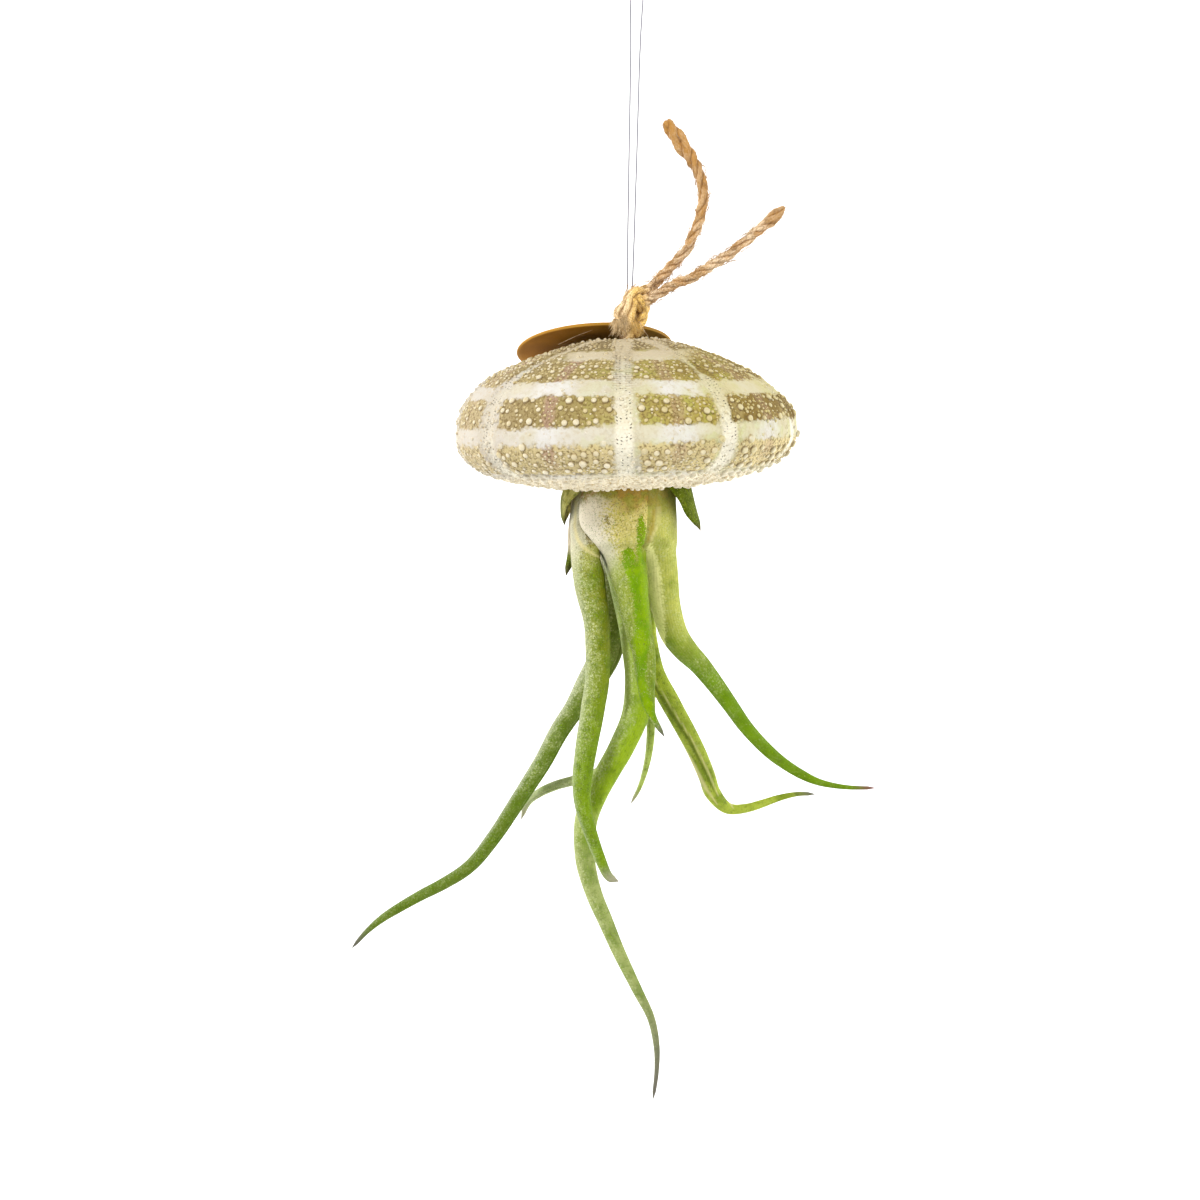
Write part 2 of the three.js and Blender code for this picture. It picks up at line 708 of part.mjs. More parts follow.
const STEM_TOP = -106.5;
const STEM_OUTLINE = [
  [0, STEM_TOP],
  [2.6, STEM_TOP - 0.4],
  [3.6, STEM_TOP - 1.6],
  [3.2, STEM_TOP - 2.6],
  [4.1, STEM_TOP - 3.8],
  [3.5, STEM_TOP - 4.8],
  [4.2, STEM_TOP - 6.2],
  [3.7, STEM_TOP - 7.4],
  [3.85, STEM_TOP - 9],
  [4.4, STEM_TOP - 12],
  [3, STEM_TOP - 16],
  [0, STEM_TOP - 17],
];

function makeStem() {
  const outline = STEM_OUTLINE.map((p) => new THREE.Vector2(...p)).reverse();
  return named("plant_stem", new THREE.LatheGeometry(outline, 16).rotateX(Math.PI / 2), stemMaterial);
}

// ---------------------------------------------------------------------------------------------
// Assembly
// ---------------------------------------------------------------------------------------------

const group = new THREE.Group();
group.name = "hanging_air_plant";
group.add(makeShell());
group.add(makeTag());
group.add(makeKnot());
group.add(named("twine_tail_long", tube(LONG_TAIL, TWINE, 20), twineMaterial));
group.add(named("twine_tail_short", tube(SHORT_TAIL, TWINE, 14), twineMaterial));
group.add(named("hanging_line", tube(lineRoute(), LINE, 32), lineMaterial));
group.add(makeStem());
for (const [name, bract] of Object.entries(BRACTS)) {
  group.add(named(name, leafGeometry(bract), bractMaterial));
}
for (const [name, leaf] of Object.entries(LEAVES)) {
  group.add(named(name, leafGeometry(leaf), leafMaterial));
}

export default group;
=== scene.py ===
# %% [markdown]
# # A medusa head air plant in a sea urchin shell
#
# The plant is *Tillandsia caput-medusae*. Each of its leaves is wide and hollow at the foot, so
# that the feet together make a bulb, and rolled into a tapering tube further out. Here it hangs
# head down out of the mouth of an empty urchin shell, and so it looks like a jellyfish. The shell
# hangs by knotted jute on a clear nylon line.
#
# The solid shapes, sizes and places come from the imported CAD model. What follows makes a finer
# skin for each of them. Lengths are worked out in millimetres, and only a finished mesh is
# turned into metres.

import math

import bpy
import numpy as np
from mathutils import Matrix, Vector


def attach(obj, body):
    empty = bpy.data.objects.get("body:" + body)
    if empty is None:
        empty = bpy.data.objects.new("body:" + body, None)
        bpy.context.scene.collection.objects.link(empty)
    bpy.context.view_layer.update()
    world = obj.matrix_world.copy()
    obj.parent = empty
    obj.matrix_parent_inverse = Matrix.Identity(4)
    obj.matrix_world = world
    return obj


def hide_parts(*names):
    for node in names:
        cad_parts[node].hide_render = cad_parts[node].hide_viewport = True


MM = 0.001
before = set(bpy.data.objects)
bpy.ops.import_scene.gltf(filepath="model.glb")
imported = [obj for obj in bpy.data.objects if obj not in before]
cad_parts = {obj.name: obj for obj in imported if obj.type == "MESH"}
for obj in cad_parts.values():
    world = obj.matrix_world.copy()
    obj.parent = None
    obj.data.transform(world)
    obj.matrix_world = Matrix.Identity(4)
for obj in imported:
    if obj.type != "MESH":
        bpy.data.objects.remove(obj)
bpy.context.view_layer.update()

# %% [markdown]
# ## Camera
#
# A long lens from a metre away keeps the leaves from looking stretched. The camera looks down by
# a few degrees, which shows the dome of the shell and keeps the underside of the tag in sight.
# A small roll is turned in with it, because the line doesn't hang quite upright in the frame.


# %% Camera
def placed(name, data):
    """A new object of the scene that holds this data."""
    made = bpy.data.objects.new(name, data)
    bpy.context.scene.collection.objects.link(made)
    return made


SENSOR = 36
VIEW_WIDTH = 300.0
VIEW_DISTANCE = 1000.0
VIEW_DOWN = math.radians(3.7)
VIEW_ROLL = math.radians(1.4)
VIEW_CENTRE = Vector((-5.43, 0, -158.87))

forward = Vector((0, math.cos(VIEW_DOWN), -math.sin(VIEW_DOWN)))
level_right = Vector((1, 0, 0))
level_up = Vector((0, math.sin(VIEW_DOWN), math.cos(VIEW_DOWN)))
frame_up = math.cos(VIEW_ROLL) * level_up - math.sin(VIEW_ROLL) * level_right
frame_right = math.cos(VIEW_ROLL) * level_right + math.sin(VIEW_ROLL) * level_up

camera = placed("camera", bpy.data.cameras.new("camera"))
camera.data.sensor_width = SENSOR
camera.data.lens = SENSOR * VIEW_DISTANCE / VIEW_WIDTH
facing = Matrix((frame_right, frame_up, -forward)).transposed().to_4x4()
camera.matrix_world = Matrix.Translation((VIEW_CENTRE - VIEW_DISTANCE * forward) * MM) @ facing
bpy.context.scene.camera = camera
print("lens in mm:", camera.data.lens)

# %% [markdown]
# ## Surfaces from arrays
#
# Every shape below is a grid of points: rows follow a path, and columns go round it. numpy works
# out the whole grid at once. One small class gathers the grids that make up a piece, joins
# neighbouring points with quads, and closes the ends of tubes. It also keeps a number for each
# point, such as how far along a leaf it lies, which the finishes read later.


# %% Meshes from grids
def grid_quads(rows, columns, wrap, loop=False):
    """Quads between neighbours in a grid that is numbered row by row. With wrap, the last column
    is joined to the first, and with loop, the last row is."""
    i, j = np.meshgrid(np.arange(rows - 1 + loop), np.arange(columns - 1 + wrap), indexing="ij")
    across, on = (j + 1) % columns, (i + 1) % rows * columns
    corners = [i * columns + j, i * columns + across, on + across, on + j]
    return np.stack(corners, -1).reshape(-1, 4)


def smooth_mesh(name, points, faces):
    """A mesh that is shaded smooth, from points in millimetres."""
    mesh = bpy.data.meshes.new(name)
    mesh.from_pydata((points.reshape(-1, 3) * MM).tolist(), [], faces)
    mesh.polygons.foreach_set("use_smooth", np.ones(len(mesh.polygons), dtype=bool))
    return mesh


print("quads round a tube of 3 rows of 4 points:", len(grid_quads(3, 4, True)))


# %% Gather grids into a piece
class Skin:
    """The points, faces and named values of one piece, gathered grid by grid, in millimetres."""

    def __init__(self):
        self.points, self.faces, self.values, self.count = [], [], {}, 0

    def add(self, points, closed=True, loop=False, **values):
        """Adds copies of a grid: points is copies, rows, columns, 3. Closed tubes get end faces,
        and the rows of a loop come back to the first."""
        copies, rows, columns = points.shape[:3]
        start = (np.arange(copies) * rows * columns + self.count)[:, None, None]
        quads = grid_quads(rows, columns, True, loop)[None] + start
        self.faces += quads.reshape(-1, 4).tolist()
        if closed:
            ring = np.arange(columns)
            ends = np.stack([ring[::-1], ring + (rows - 1) * columns])
            self.faces += (ends[None] + start).reshape(-1, columns).tolist()
        self.points.append(points.reshape(-1, 3))
        for name, value in values.items():
            spread = np.broadcast_to(value, points.shape[:3]).reshape(-1)
            self.values.setdefault(name, []).append(spread)
        self.count += copies * rows * columns

    def piece(self, name, finish, slot, *nodes):
        """Makes the mesh object, which rides on the root body and stands for the CAD nodes."""
        mesh = smooth_mesh(name, np.concatenate(self.points), self.faces)
        for title, parts in self.values.items():
            layer = mesh.attributes.new(title, "FLOAT", "POINT")
            layer.data.foreach_set("value", np.concatenate(parts).astype(np.float32))
        mesh.materials.append(finish)
        made = placed(name, mesh)
        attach(made, "root")
        if nodes:
            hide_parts(*nodes)
        print(f"{name}: {self.count} points, {sum(len(f) - 2 for f in self.faces)} triangles")
        return made


# %% [markdown]
# ## Curves and frames
#
# The CAD model lays each leaf and each length of twine through a few stations. The same rule is
# used here, a centripetal Catmull-Rom curve, so that the fine skin follows the plain solid. A
# frame is then carried along the curve: it turns only as much as the curve does, and a section
# set in it doesn't spin.


# %% Smooth curves through stations
def unit(vectors):
    """The vectors, each divided by its own length."""
    return vectors / np.linalg.norm(vectors, axis=-1, keepdims=True)


def through(stations, places):
    """Rows of numbers between stations, at places counted in stations. Each stretch is a cubic
    whose end slopes come from knots spaced by the square root of the distance."""
    first, last = 2 * stations[0] - stations[1], 2 * stations[-1] - stations[-2]
    rows = np.vstack([first, stations, last])
    knots = np.sqrt(np.linalg.norm(np.diff(rows[:, :3], axis=0), axis=1))
    i = np.minimum(places.astype(int), len(stations) - 2)
    f = (places - i)[:, None]
    before, here, there, after = (rows[i + k] for k in range(4))
    d0, d1, d2 = (knots[i + k][:, None] for k in range(3))
    leave = d1 * ((here - before) / d0 - (there - before) / (d0 + d1) + (there - here) / d1)
    reach = d1 * ((there - here) / d1 - (after - here) / (d1 + d2) + (after - there) / d2)
    rise = f * f * (3 - 2 * f)
    return here + (there - here) * rise + leave * f * (1 - f) ** 2 - reach * f * f * (1 - f)


def even_places(stations, step):
    """Places along the curve that are equal steps apart."""
    dense = np.linspace(0, len(stations) - 1, 40 * (len(stations) - 1) + 1)
    strides = np.linalg.norm(np.diff(through(stations, dense)[:, :3], axis=0), axis=1)
    run = np.concatenate([[0], np.cumsum(strides)])
    return np.interp(np.linspace(0, run[-1], round(run[-1] / step) + 1), run, dense)


straight = np.array([(0.0, 0, 0), (1, 0, 0), (4, 0, 0)])
between = through(straight, np.array([0.5, 1.5]))[:, 0].round(2)
print("between stations at 0, 1 and 4:", between)


# %% Frames and tubes
def carried(directions, start):
    """A direction square to each of the given ones: the last is carried on, and made square to
    the next by taking away what points along it."""
    square = np.empty_like(directions)
    current = np.array(start, dtype=float)
    for i, direction in enumerate(directions):
        current = unit(current - direction * (current @ direction))
        square[i] = current
    return square


def frame_along(route):
    """The direction of the route at each point, and two carried directions square to it."""
    along = unit(np.gradient(route, axis=0))
    one = carried(along, (0.3, 0.2, 1))
    return along, one, np.cross(along, one)


def round_angles(count):
    """Equal steps of angle round a full turn."""
    return 2 * np.pi * np.arange(count) / count


def towards_angle(angle, one, other):
    """One direction times the angle's cosine, plus the other times its sine."""
    return np.cos(angle)[..., None] * one + np.sin(angle)[..., None] * other


def tube(route, radius, sides):
    """A pipe along a route: each ring is the route's point, plus the radius towards each angle
    between the two carried directions. There is a radius for each point of the grid."""
    along, one, other = frame_along(route)
    ring = towards_angle(round_angles(sides), one[:, None], other[:, None])
    return route[:, None] + radius[..., None] * ring


def length_of(route):
    """The sum of the distances between neighbouring points."""
    return float(np.linalg.norm(np.diff(route, axis=0), axis=1).sum())


quarter = towards_angle(np.linspace(0, np.pi / 2, 50), np.array([100, 0]), np.array([0, 100]))
print("a quarter circle of 100 mm is", round(length_of(quarter), 2), "mm long")

# %% [markdown]
# ## Shader arithmetic
#
# A material's maths is a net of Math nodes, which is hard to read as a picture. Here a socket is
# wrapped in a small class, so that `mask * 0.5 + noise` adds those nodes by itself. Colours don't
# pass through Math nodes, which would turn them grey: they go through Mix.


# %% Sockets as numbers
class Signal:
    """A shader socket in a Python expression. Each operator adds a Math node to its finish."""

    def __init__(self, finish, socket):
        self.finish, self.socket = finish, socket

    def __add__(self, other):
        return self.finish.math("ADD", self, other)

    def __sub__(self, other):
        return self.finish.math("SUBTRACT", self, other)

    def __rsub__(self, other):
        return self.finish.math("SUBTRACT", other, self)

    def __mul__(self, other):
        return self.finish.math("MULTIPLY", self, other)

    def __abs__(self):
        return self.finish.math("ABSOLUTE", self)

    def wave(self):
        """The sine."""
        return self.finish.math("SINE", self)

    def most(self, other):
        """The greater of the two."""
        return self.finish.math("MAXIMUM", self, other)

    def rise(self, low, high):
        """0 below low, 1 above high, and a smooth step between."""
        settings = {"interpolation_type": "SMOOTHSTEP"}
        inputs = {"Value": self, "From Min": low, "From Max": high}
        return self.finish.node("ShaderNodeMapRange", settings, inputs)

    def fall(self, low, high):
        """1 below low, 0 above high, and a smooth step between."""
        return 1 - self.rise(low, high)

    def band(self, low, high, soft):
        """1 from low to high, and 0 outside, with soft edges."""
        return self.rise(low - soft, low + soft) * self.fall(high - soft, high + soft)

    __radd__, __rmul__ = __add__, __mul__


def paint(red, green, blue):
    """A colour given in the usual 0 to 255 steps, as linear light."""
    steps = [c / 255 for c in (red, green, blue)]
    return tuple(c / 12.92 if c <= 0.04045 else ((c + 0.055) / 1.055) ** 2.4 for c in steps) + (1,)


# %% Materials in the making
class Finish:
    """A material whose nodes are added one by one."""

    def __init__(self, name):
        self.material = bpy.data.materials.new(name)
        self.material.use_nodes = True
        self.material.node_tree.nodes.clear()

    def node(self, kind, settings=None, inputs=None, output=0):
        """Adds a node: its settings first, then the values or links of its sockets."""
        made = self.material.node_tree.nodes.new(kind)
        for name, value in (settings or {}).items():
            setattr(made, name, value)
        for name, value in (inputs or {}).items():
            if isinstance(value, Signal):
                self.material.node_tree.links.new(value.socket, made.inputs[name])
            else:
                made.inputs[name].default_value = value
        return Signal(self, made.outputs[output]) if len(made.outputs) else None

    def math(self, operation, first, second=0.0):
        """One Math node on two numbers or signals."""
        return self.node("ShaderNodeMath", {"operation": operation}, {0: first, 1: second})

    def value(self, name):
        """The number that the piece keeps for each point under this name."""
        return self.node("ShaderNodeAttribute", {"attribute_name": name}, output="Fac")

    def place(self):
        """The point on the piece, in millimetres."""
        inputs = {0: self.node("ShaderNodeTexCoord", output="Object"), "Scale": 1 / MM}
        return self.node("ShaderNodeVectorMath", {"operation": "SCALE"}, inputs)

    def axis(self, name):
        """One coordinate of the point, in millimetres."""
        return self.node("ShaderNodeSeparateXYZ", inputs={0: self.place()}, output=name)

    def noise(self, size, detail):
        """Cloudy noise from 0 to 1, with lumps of about this size in millimetres."""
        inputs = {"Vector": self.place(), "Scale": 1 / size, "Detail": detail}
        return self.node("ShaderNodeTexNoise", inputs=inputs)

    def cells(self, size):
        """The distance from the middle of the nearest cell, in cells of about this size."""
        inputs = {"Vector": self.place(), "Scale": 1 / size}
        return self.node("ShaderNodeTexVoronoi", inputs=inputs)

    def mix(self, share, first, second):
        """A colour between two, the second where share is 1. Each of them is the colour so far,
        or a new one in 0 to 255 steps."""
        first, second = (paint(*c) if isinstance(c, tuple) else c for c in (first, second))
        inputs = {0: share, 6: first, 7: second}
        return self.node("ShaderNodeMix", {"data_type": "RGBA"}, inputs, output=2)

    def coats(self, ground, *layers):
        """The ground under layers that are laid on in turn, each given by its share and colour."""
        for share, colour in layers:
            ground = self.mix(share, ground, colour)
        return ground

    def done(self, colour, roughness, relief=None, depth=0.1, **constants):
        """Ends the material: relief is in millimetres of height times depth."""
        inputs = {"Base Color": colour, "Roughness": roughness}
        inputs.update({name.replace("_", " "): value for name, value in constants.items()})
        if relief is not None:
            bump = {"Height": relief, "Distance": depth * MM, "Strength": 1.0}
            inputs["Normal"] = self.node("ShaderNodeBump", inputs=bump)
        shader = self.node("ShaderNodeBsdfPrincipled", inputs=inputs)
        self.node("ShaderNodeOutputMaterial", inputs={"Surface": shader})
        return self.material


# %% [markdown]
# ## Studio
#
# The thing hangs in a white sweep: a pale floor far below it that curves up into a back wall, so
# that no edge shows behind the leaves. A white sky fills the shadows as paper walls would. Two
# large soft lamps in front give the forms a lit and a shaded side, and two more light the sweep.


# %% Floor
def sweep_points():
    """A floor profile carried along X: level, then a quarter circle, then upright."""
    bend = np.linspace(0, np.pi / 2, 24)
    radius, floor, wall = 1500.0, -760.0, 3200.0
    y = np.concatenate([[-6000.0], wall - radius + radius * np.sin(bend), [wall]])
    z = np.concatenate([[floor], floor + radius - radius * np.cos(bend), [floor + 6000]])
    x = np.linspace(-6000, 6000, 7)
    return np.stack(np.broadcast_arrays(x, y[:, None], z[:, None]), -1)


sweep = sweep_points()
sweep_faces = grid_quads(*sweep.shape[:2], False)[:, ::-1].tolist()
sweep_mesh = smooth_mesh("studio_floor", sweep, sweep_faces)
sweep_mesh.materials.append(Finish("studio_paper").done((0.93, 0.93, 0.925, 1), 0.9))
studio_floor = placed("studio_floor", sweep_mesh)
print("points in the sweep:", sweep.shape[:2])

# %% Sky and lamps
sky = bpy.data.worlds.new("studio_sky")
sky.use_nodes = True
for title, setting in (("Color", (1, 1, 1, 1)), ("Strength", 0.4)):
    sky.node_tree.nodes["Background"].inputs[title].default_value = setting
bpy.context.scene.world = sky
bpy.context.scene.view_settings.view_transform = "Standard"

for name, where, aim, size, watts in [
    ("lamp_left", (-560, -900, 620), (0, 0, -150), 330, 15),
    ("lamp_right", (900, -600, 0), (0, 0, -170), 900, 6),
    ("lamp_sweep_left", (-1700, 900, 300), (300, 3200, -500), 1500, 75),
    ("lamp_sweep_right", (1700, 900, 300), (-300, 3200, -500), 1500, 75),
]:
    lamp = placed(name, bpy.data.lights.new(name, "AREA"))
    lamp.data.size = size * MM
    lamp.data.energy = watts
    place = Vector(where) * MM
    towards = (Vector(aim) * MM - place).to_track_quat("-Z", "Y").to_matrix().to_4x4()
    lamp.matrix_world = Matrix.Translation(place) @ towards

# %% [markdown]
# ## The clear line
#
# Nylon monofilament, doubled over a hook above the view, with both ends in the knot. A curve with
# a round bevel is the plainest way to draw it, and it needs no mesh maths. The route repeats the
# CAD model's.

# %% Nylon line
LINE = 0.4
BIGHT = 1.5
line_route = [
    (-0.5, 1.6, -81.2), (-0.65, 1.5, -75), (-0.9, 1, -50), (-1.2, 0.4, -20), (-1.7, 0.1, -4),
]
for degrees in (180, 150, 120, 90, 60, 30, 0):
    turn = math.radians(degrees)
    line_route.append((BIGHT * math.cos(turn), 0, BIGHT * (math.sin(turn) - 1) - LINE / 2))
line_route += [(1.7, 0.1, -4), (1.2, 0.4, -20), (1, 1, -50), (0.8, 1.5, -75), (0.7, 1.6, -80.9)]
line_stations = np.array(line_route)
line_places = np.linspace(0, len(line_stations) - 1, 8 * (len(line_stations) - 1) + 1)
line_path = through(line_stations, line_places)

clear_nylon = Finish("clear_nylon").done(
    paint(138, 136, 144), 0.5, Transmission_Weight=0.1, IOR=1.5, Specular_IOR_Level=0.2
)

line_curve = bpy.data.curves.new("nylon_line", "CURVE")
line_curve.dimensions = "3D"
line_curve.bevel_depth = LINE / 2 * MM
line_curve.bevel_resolution = 3
line_curve.use_fill_caps = True
spline = line_curve.splines.new("POLY")
spline.points.add(len(line_path) - 1)
spline.points.foreach_set("co", np.c_[line_path * MM, np.ones(len(line_path))].ravel())
line_curve.materials.append(clear_nylon)
nylon_line = placed("nylon_line", line_curve)
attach(nylon_line, "root")
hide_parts("hanging_line")
line_path[0] * MM
print("nylon line:", round(length_of(line_path), 1), "mm")

# %% [markdown]
# ## Jute twine
#
# Three plies of jute are laid together in a helix, and each ply is itself a bundle of fibres that
# lean the other way. So a ply is a pipe along a helix round the twine's route, with low ridges on
# it that run slantwise. An array of whole pipes is simpler than twisting a mesh with a modifier,
# and it lets the ends fray. Loose hairs are added as thin three-sided pipes.

# %% Jute finish
jute = Finish("jute")
strand, patch = jute.noise(0.35, 5.0), jute.noise(3.5, 2.0)
# painted light: the knot's gold is paler on its left, where the light falls, and deeper orange on
# its right
right = jute.axis("X").rise(-0.8, 1.2)
bundle = jute.value("bundle") + (strand - 0.5) * 2.0
straw = jute.coats(
    jute.mix(patch.rise(0.35, 0.65), (194, 152, 101), (234, 208, 171)),
    (jute.value("gold") * 0.85, jute.mix(right, (254, 228, 172), (248, 208, 108))),
    (strand.fall(0.34, 0.5) * 0.6, (140, 100, 50)),
    (strand.rise(0.55, 0.68) * 0.5, (246, 226, 192)),
    # partly the fibres' own streaks, partly painted shade and light: the fibre bundles are darker
    # in the grooves between them and lighter on their crests
    (bundle.fall(-1.0, 0.1) * 0.45, (170, 122, 54)),
    (bundle.rise(0.3, 1.2) * 0.4, (250, 230, 196)),
    # painted shade: the plies darken down into the grooves between them, and the loose hairs take a
    # fixed share of this shade through their crown value
    (jute.value("crown").fall(0.54, 0.96) * 0.72, (142, 96, 32)),
    (jute.value("dip") * 0.75, (168, 116, 30)),
)
jute_finish = jute.done(straw, 0.92, strand, depth=0.12, Sheen_Weight=0.15)

# %% Lay plies together
TWINE = 3.2
PLY_SIDES = 22
LAY, KNOT_LAY = 12.5, 17.0


def even(share):
    """The same radius all along."""
    return 1 + 0 * share


def undipped(share):
    """No brown anywhere."""
    return 0 * share


def laid_plies(
    skin, stations, radius, phase, gold=0.0, swell=even, dip=undipped, lay=LAY, step=0.22
):
    """Three pipes round a route. Each one's middle goes round the route once in a lay length, at
    half the twine's radius, and its own radius carries ridges that lean back across it."""
    route = through(stations, even_places(stations, step))
    run = np.linspace(0, length_of(route), len(route))
    full = radius * swell(run / run[-1])
    along, one, other = frame_along(route)
    close = np.minimum(1, 0.25 + np.minimum(run, run[-1] - run) / 0.8) ** 0.5
    angle = round_angles(PLY_SIDES)
    for k in range(3):
        turn = 2 * np.pi * (run / lay + k / 3) + 0.5 * np.sin(0.45 * run + phase) + phase
        middle = route + 0.5 * full[:, None] * towards_angle(turn, one, other)
        lean = 8 * angle[None] + 2 * np.pi * run[:, None] / 1.9 + 2.1 * k
        ridge = 1 + 0.055 * np.cos(lean) + 0.03 * np.sin(3 * angle[None] + 5 * run[:, None] + k)
        wander = 1 + 0.1 * np.sin(run * 1.3 + 2 * k + phase) + 0.05 * np.sin(run * 4.1 + k)
        size = (0.52 * full * close * wander)[:, None] * ridge
        points = tube(middle, size, PLY_SIDES)
        bundle = np.cos(lean + 0.9 * np.sin(1.7 * run[:, None] + 3 * angle[None] + k))
        crown = np.linalg.norm(points - route[:, None], axis=-1) / full[:, None]
        skin.add(
            points[None], crown=crown[None], bundle=bundle[None], gold=gold,
            dip=dip(run / run[-1])[:, None],
        )
    return route


print("turns in 50 mm of twine:", 50 / LAY)


# %% Loose hairs
def stray_hairs(skin, route, radius, count, seed, reach, gold=0.0):
    """Loose hairs: each starts on the twine, runs along it, and lifts off with the square of its
    own length, to a side that the seed draws."""
    draw = np.random.default_rng(seed)
    along, one, other = frame_along(route)
    at = draw.integers(0, len(route), count)
    out = towards_angle(draw.uniform(0, 2 * np.pi, count), one[at], other[at])
    around = np.cross(along[at], out)
    way = along[at] * draw.choice([-1, 1], count)[:, None]
    t = np.linspace(0, 1, 8)[None, :, None]
    size = draw.uniform(1.2, 3.4, count)[:, None, None]
    lift = draw.uniform(0.2, reach, count)[:, None, None]
    curl = draw.uniform(-0.8, 0.8, count)[:, None, None]
    middle = route[at][:, None] + out[:, None] * (0.93 * radius + lift * t**2)
    middle = middle + way[:, None] * size * t + around[:, None] * curl * np.sin(2.6 * t)
    thin_pipes(skin, middle, draw.uniform(0.05, 0.12, count), 0.62, gold)


def thin_pipes(skin, middles, radius, crown, gold=0.0):
    """Three-sided pipes along many short routes at once, thinner towards their tips."""
    along = unit(np.gradient(middles, axis=1))
    one = unit(np.cross(along, np.array([0.31, 0.17, 0.93])))
    other = np.cross(along, one)
    ring = towards_angle(round_angles(3), one[:, :, None], other[:, :, None])
    taper = np.linspace(1, 0.35, middles.shape[1])
    size = np.asarray(radius)[:, None, None, None] * taper[None, :, None, None]
    skin.add(middles[:, :, None] + size * ring, crown=crown, gold=gold, dip=0.0)


# %% Routes of the two free tails
LONG_TAIL = np.array([
    (5.05, 0.5, -81.2), (7, 0.2, -78.8), (9.6, -0.2, -76), (13.3, -0.6, -71.9), (15.9, -1, -66.7),
    (17.3, -1.4, -61.7), (17.7, -1.7, -57), (16.6, -1.8, -52.3), (14.5, -1.6, -48.7),
    (12.2, -1.3, -45.3), (10.1, -1, -42.6), (8, -0.6, -39.4),
])
SHORT_TAIL = np.array([
    (4.9, -2.6, -83.7), (7.5, -2.7, -82.1), (10.6, -2.9, -80), (15.2, -3.4, -78.1),
    (19.9, -4, -75.1), (24.8, -4.6, -71.8), (29.4, -5, -67.8), (34, -5.4, -63.9), (37.8, -5.6, -60),
])
print("the tails end in mm at:", LONG_TAIL[-1], SHORT_TAIL[-1])


# %% Thickness and dip of the tails
def long_swell(share):
    """Slack in the lay makes the tail thicker just short of its tip; the tip is bound."""
    loose = np.exp(-(((share - 0.87) / 0.1) ** 2))
    return 0.84 + 0.5 * loose - 0.1 * np.exp(-(((share - 1) / 0.05) ** 2))


def short_swell(share):
    """The tail is thickest just short of its tip, and the tip is drawn to a point."""
    thick = np.exp(-(((share - 0.9) / 0.06) ** 2))
    return 0.82 + 0.22 * thick - 0.55 * np.maximum(0, share - 0.94) / 0.06


def long_dip(share):
    """How brown the tail is: 1 at the end that was dipped in glue, which soaked half way down."""
    return np.interp(share, [0, 0.3, 0.5, 0.84, 0.92], [0.1, 0.2, 0.76, 0.84, 1])


def short_dip(share):
    """How brown the tail is: 0.85 at the dipped end, and 0 from a sixth of the way back."""
    return 0.85 * np.clip((share - 0.84) / 0.08, 0, 1)


print("brown every quarter of the long tail:", long_dip(np.linspace(0, 1, 5)).round(2))

# %% Make the tails
jute_hairs = Skin()
for name, stations, swell, dip, seed in [
    ("jute_tail_long", LONG_TAIL, long_swell, long_dip, 3),
    ("jute_tail_short", SHORT_TAIL, short_swell, short_dip, 4),
]:
    tail_skin = Skin()
    route = laid_plies(tail_skin, stations, TWINE / 2, seed, swell=swell, dip=dip)
    tail = tail_skin.piece(name, jute_finish, "twine", name.replace("jute", "twine"))
    route[0] * MM
    route[::4] * MM
    stray_hairs(jute_hairs, route, TWINE / 2, count=260, seed=seed, reach=1.7)
    print(name, "is", round(length_of(route), 1), "mm long")

# %% [markdown]
# ## The knot
#
# The two ends of the twine come up out of the shell, one through the hole in the tag, and are
# tied round each other. Each strand of the knot is laid from plies like the tails. The strands
# press into one another, as twine in a tight knot does, so that no gaps show between them. The
# frayed skirt and the stray hairs are fans of thin pipes.

# %% Strands of the knot
TAG_HOLE = np.array([-1.62, 7.37, -91.03])
turns = np.linspace(0, 6 * np.pi, 40)
coil = 1.5 + 2.7 * turns / turns[-1]
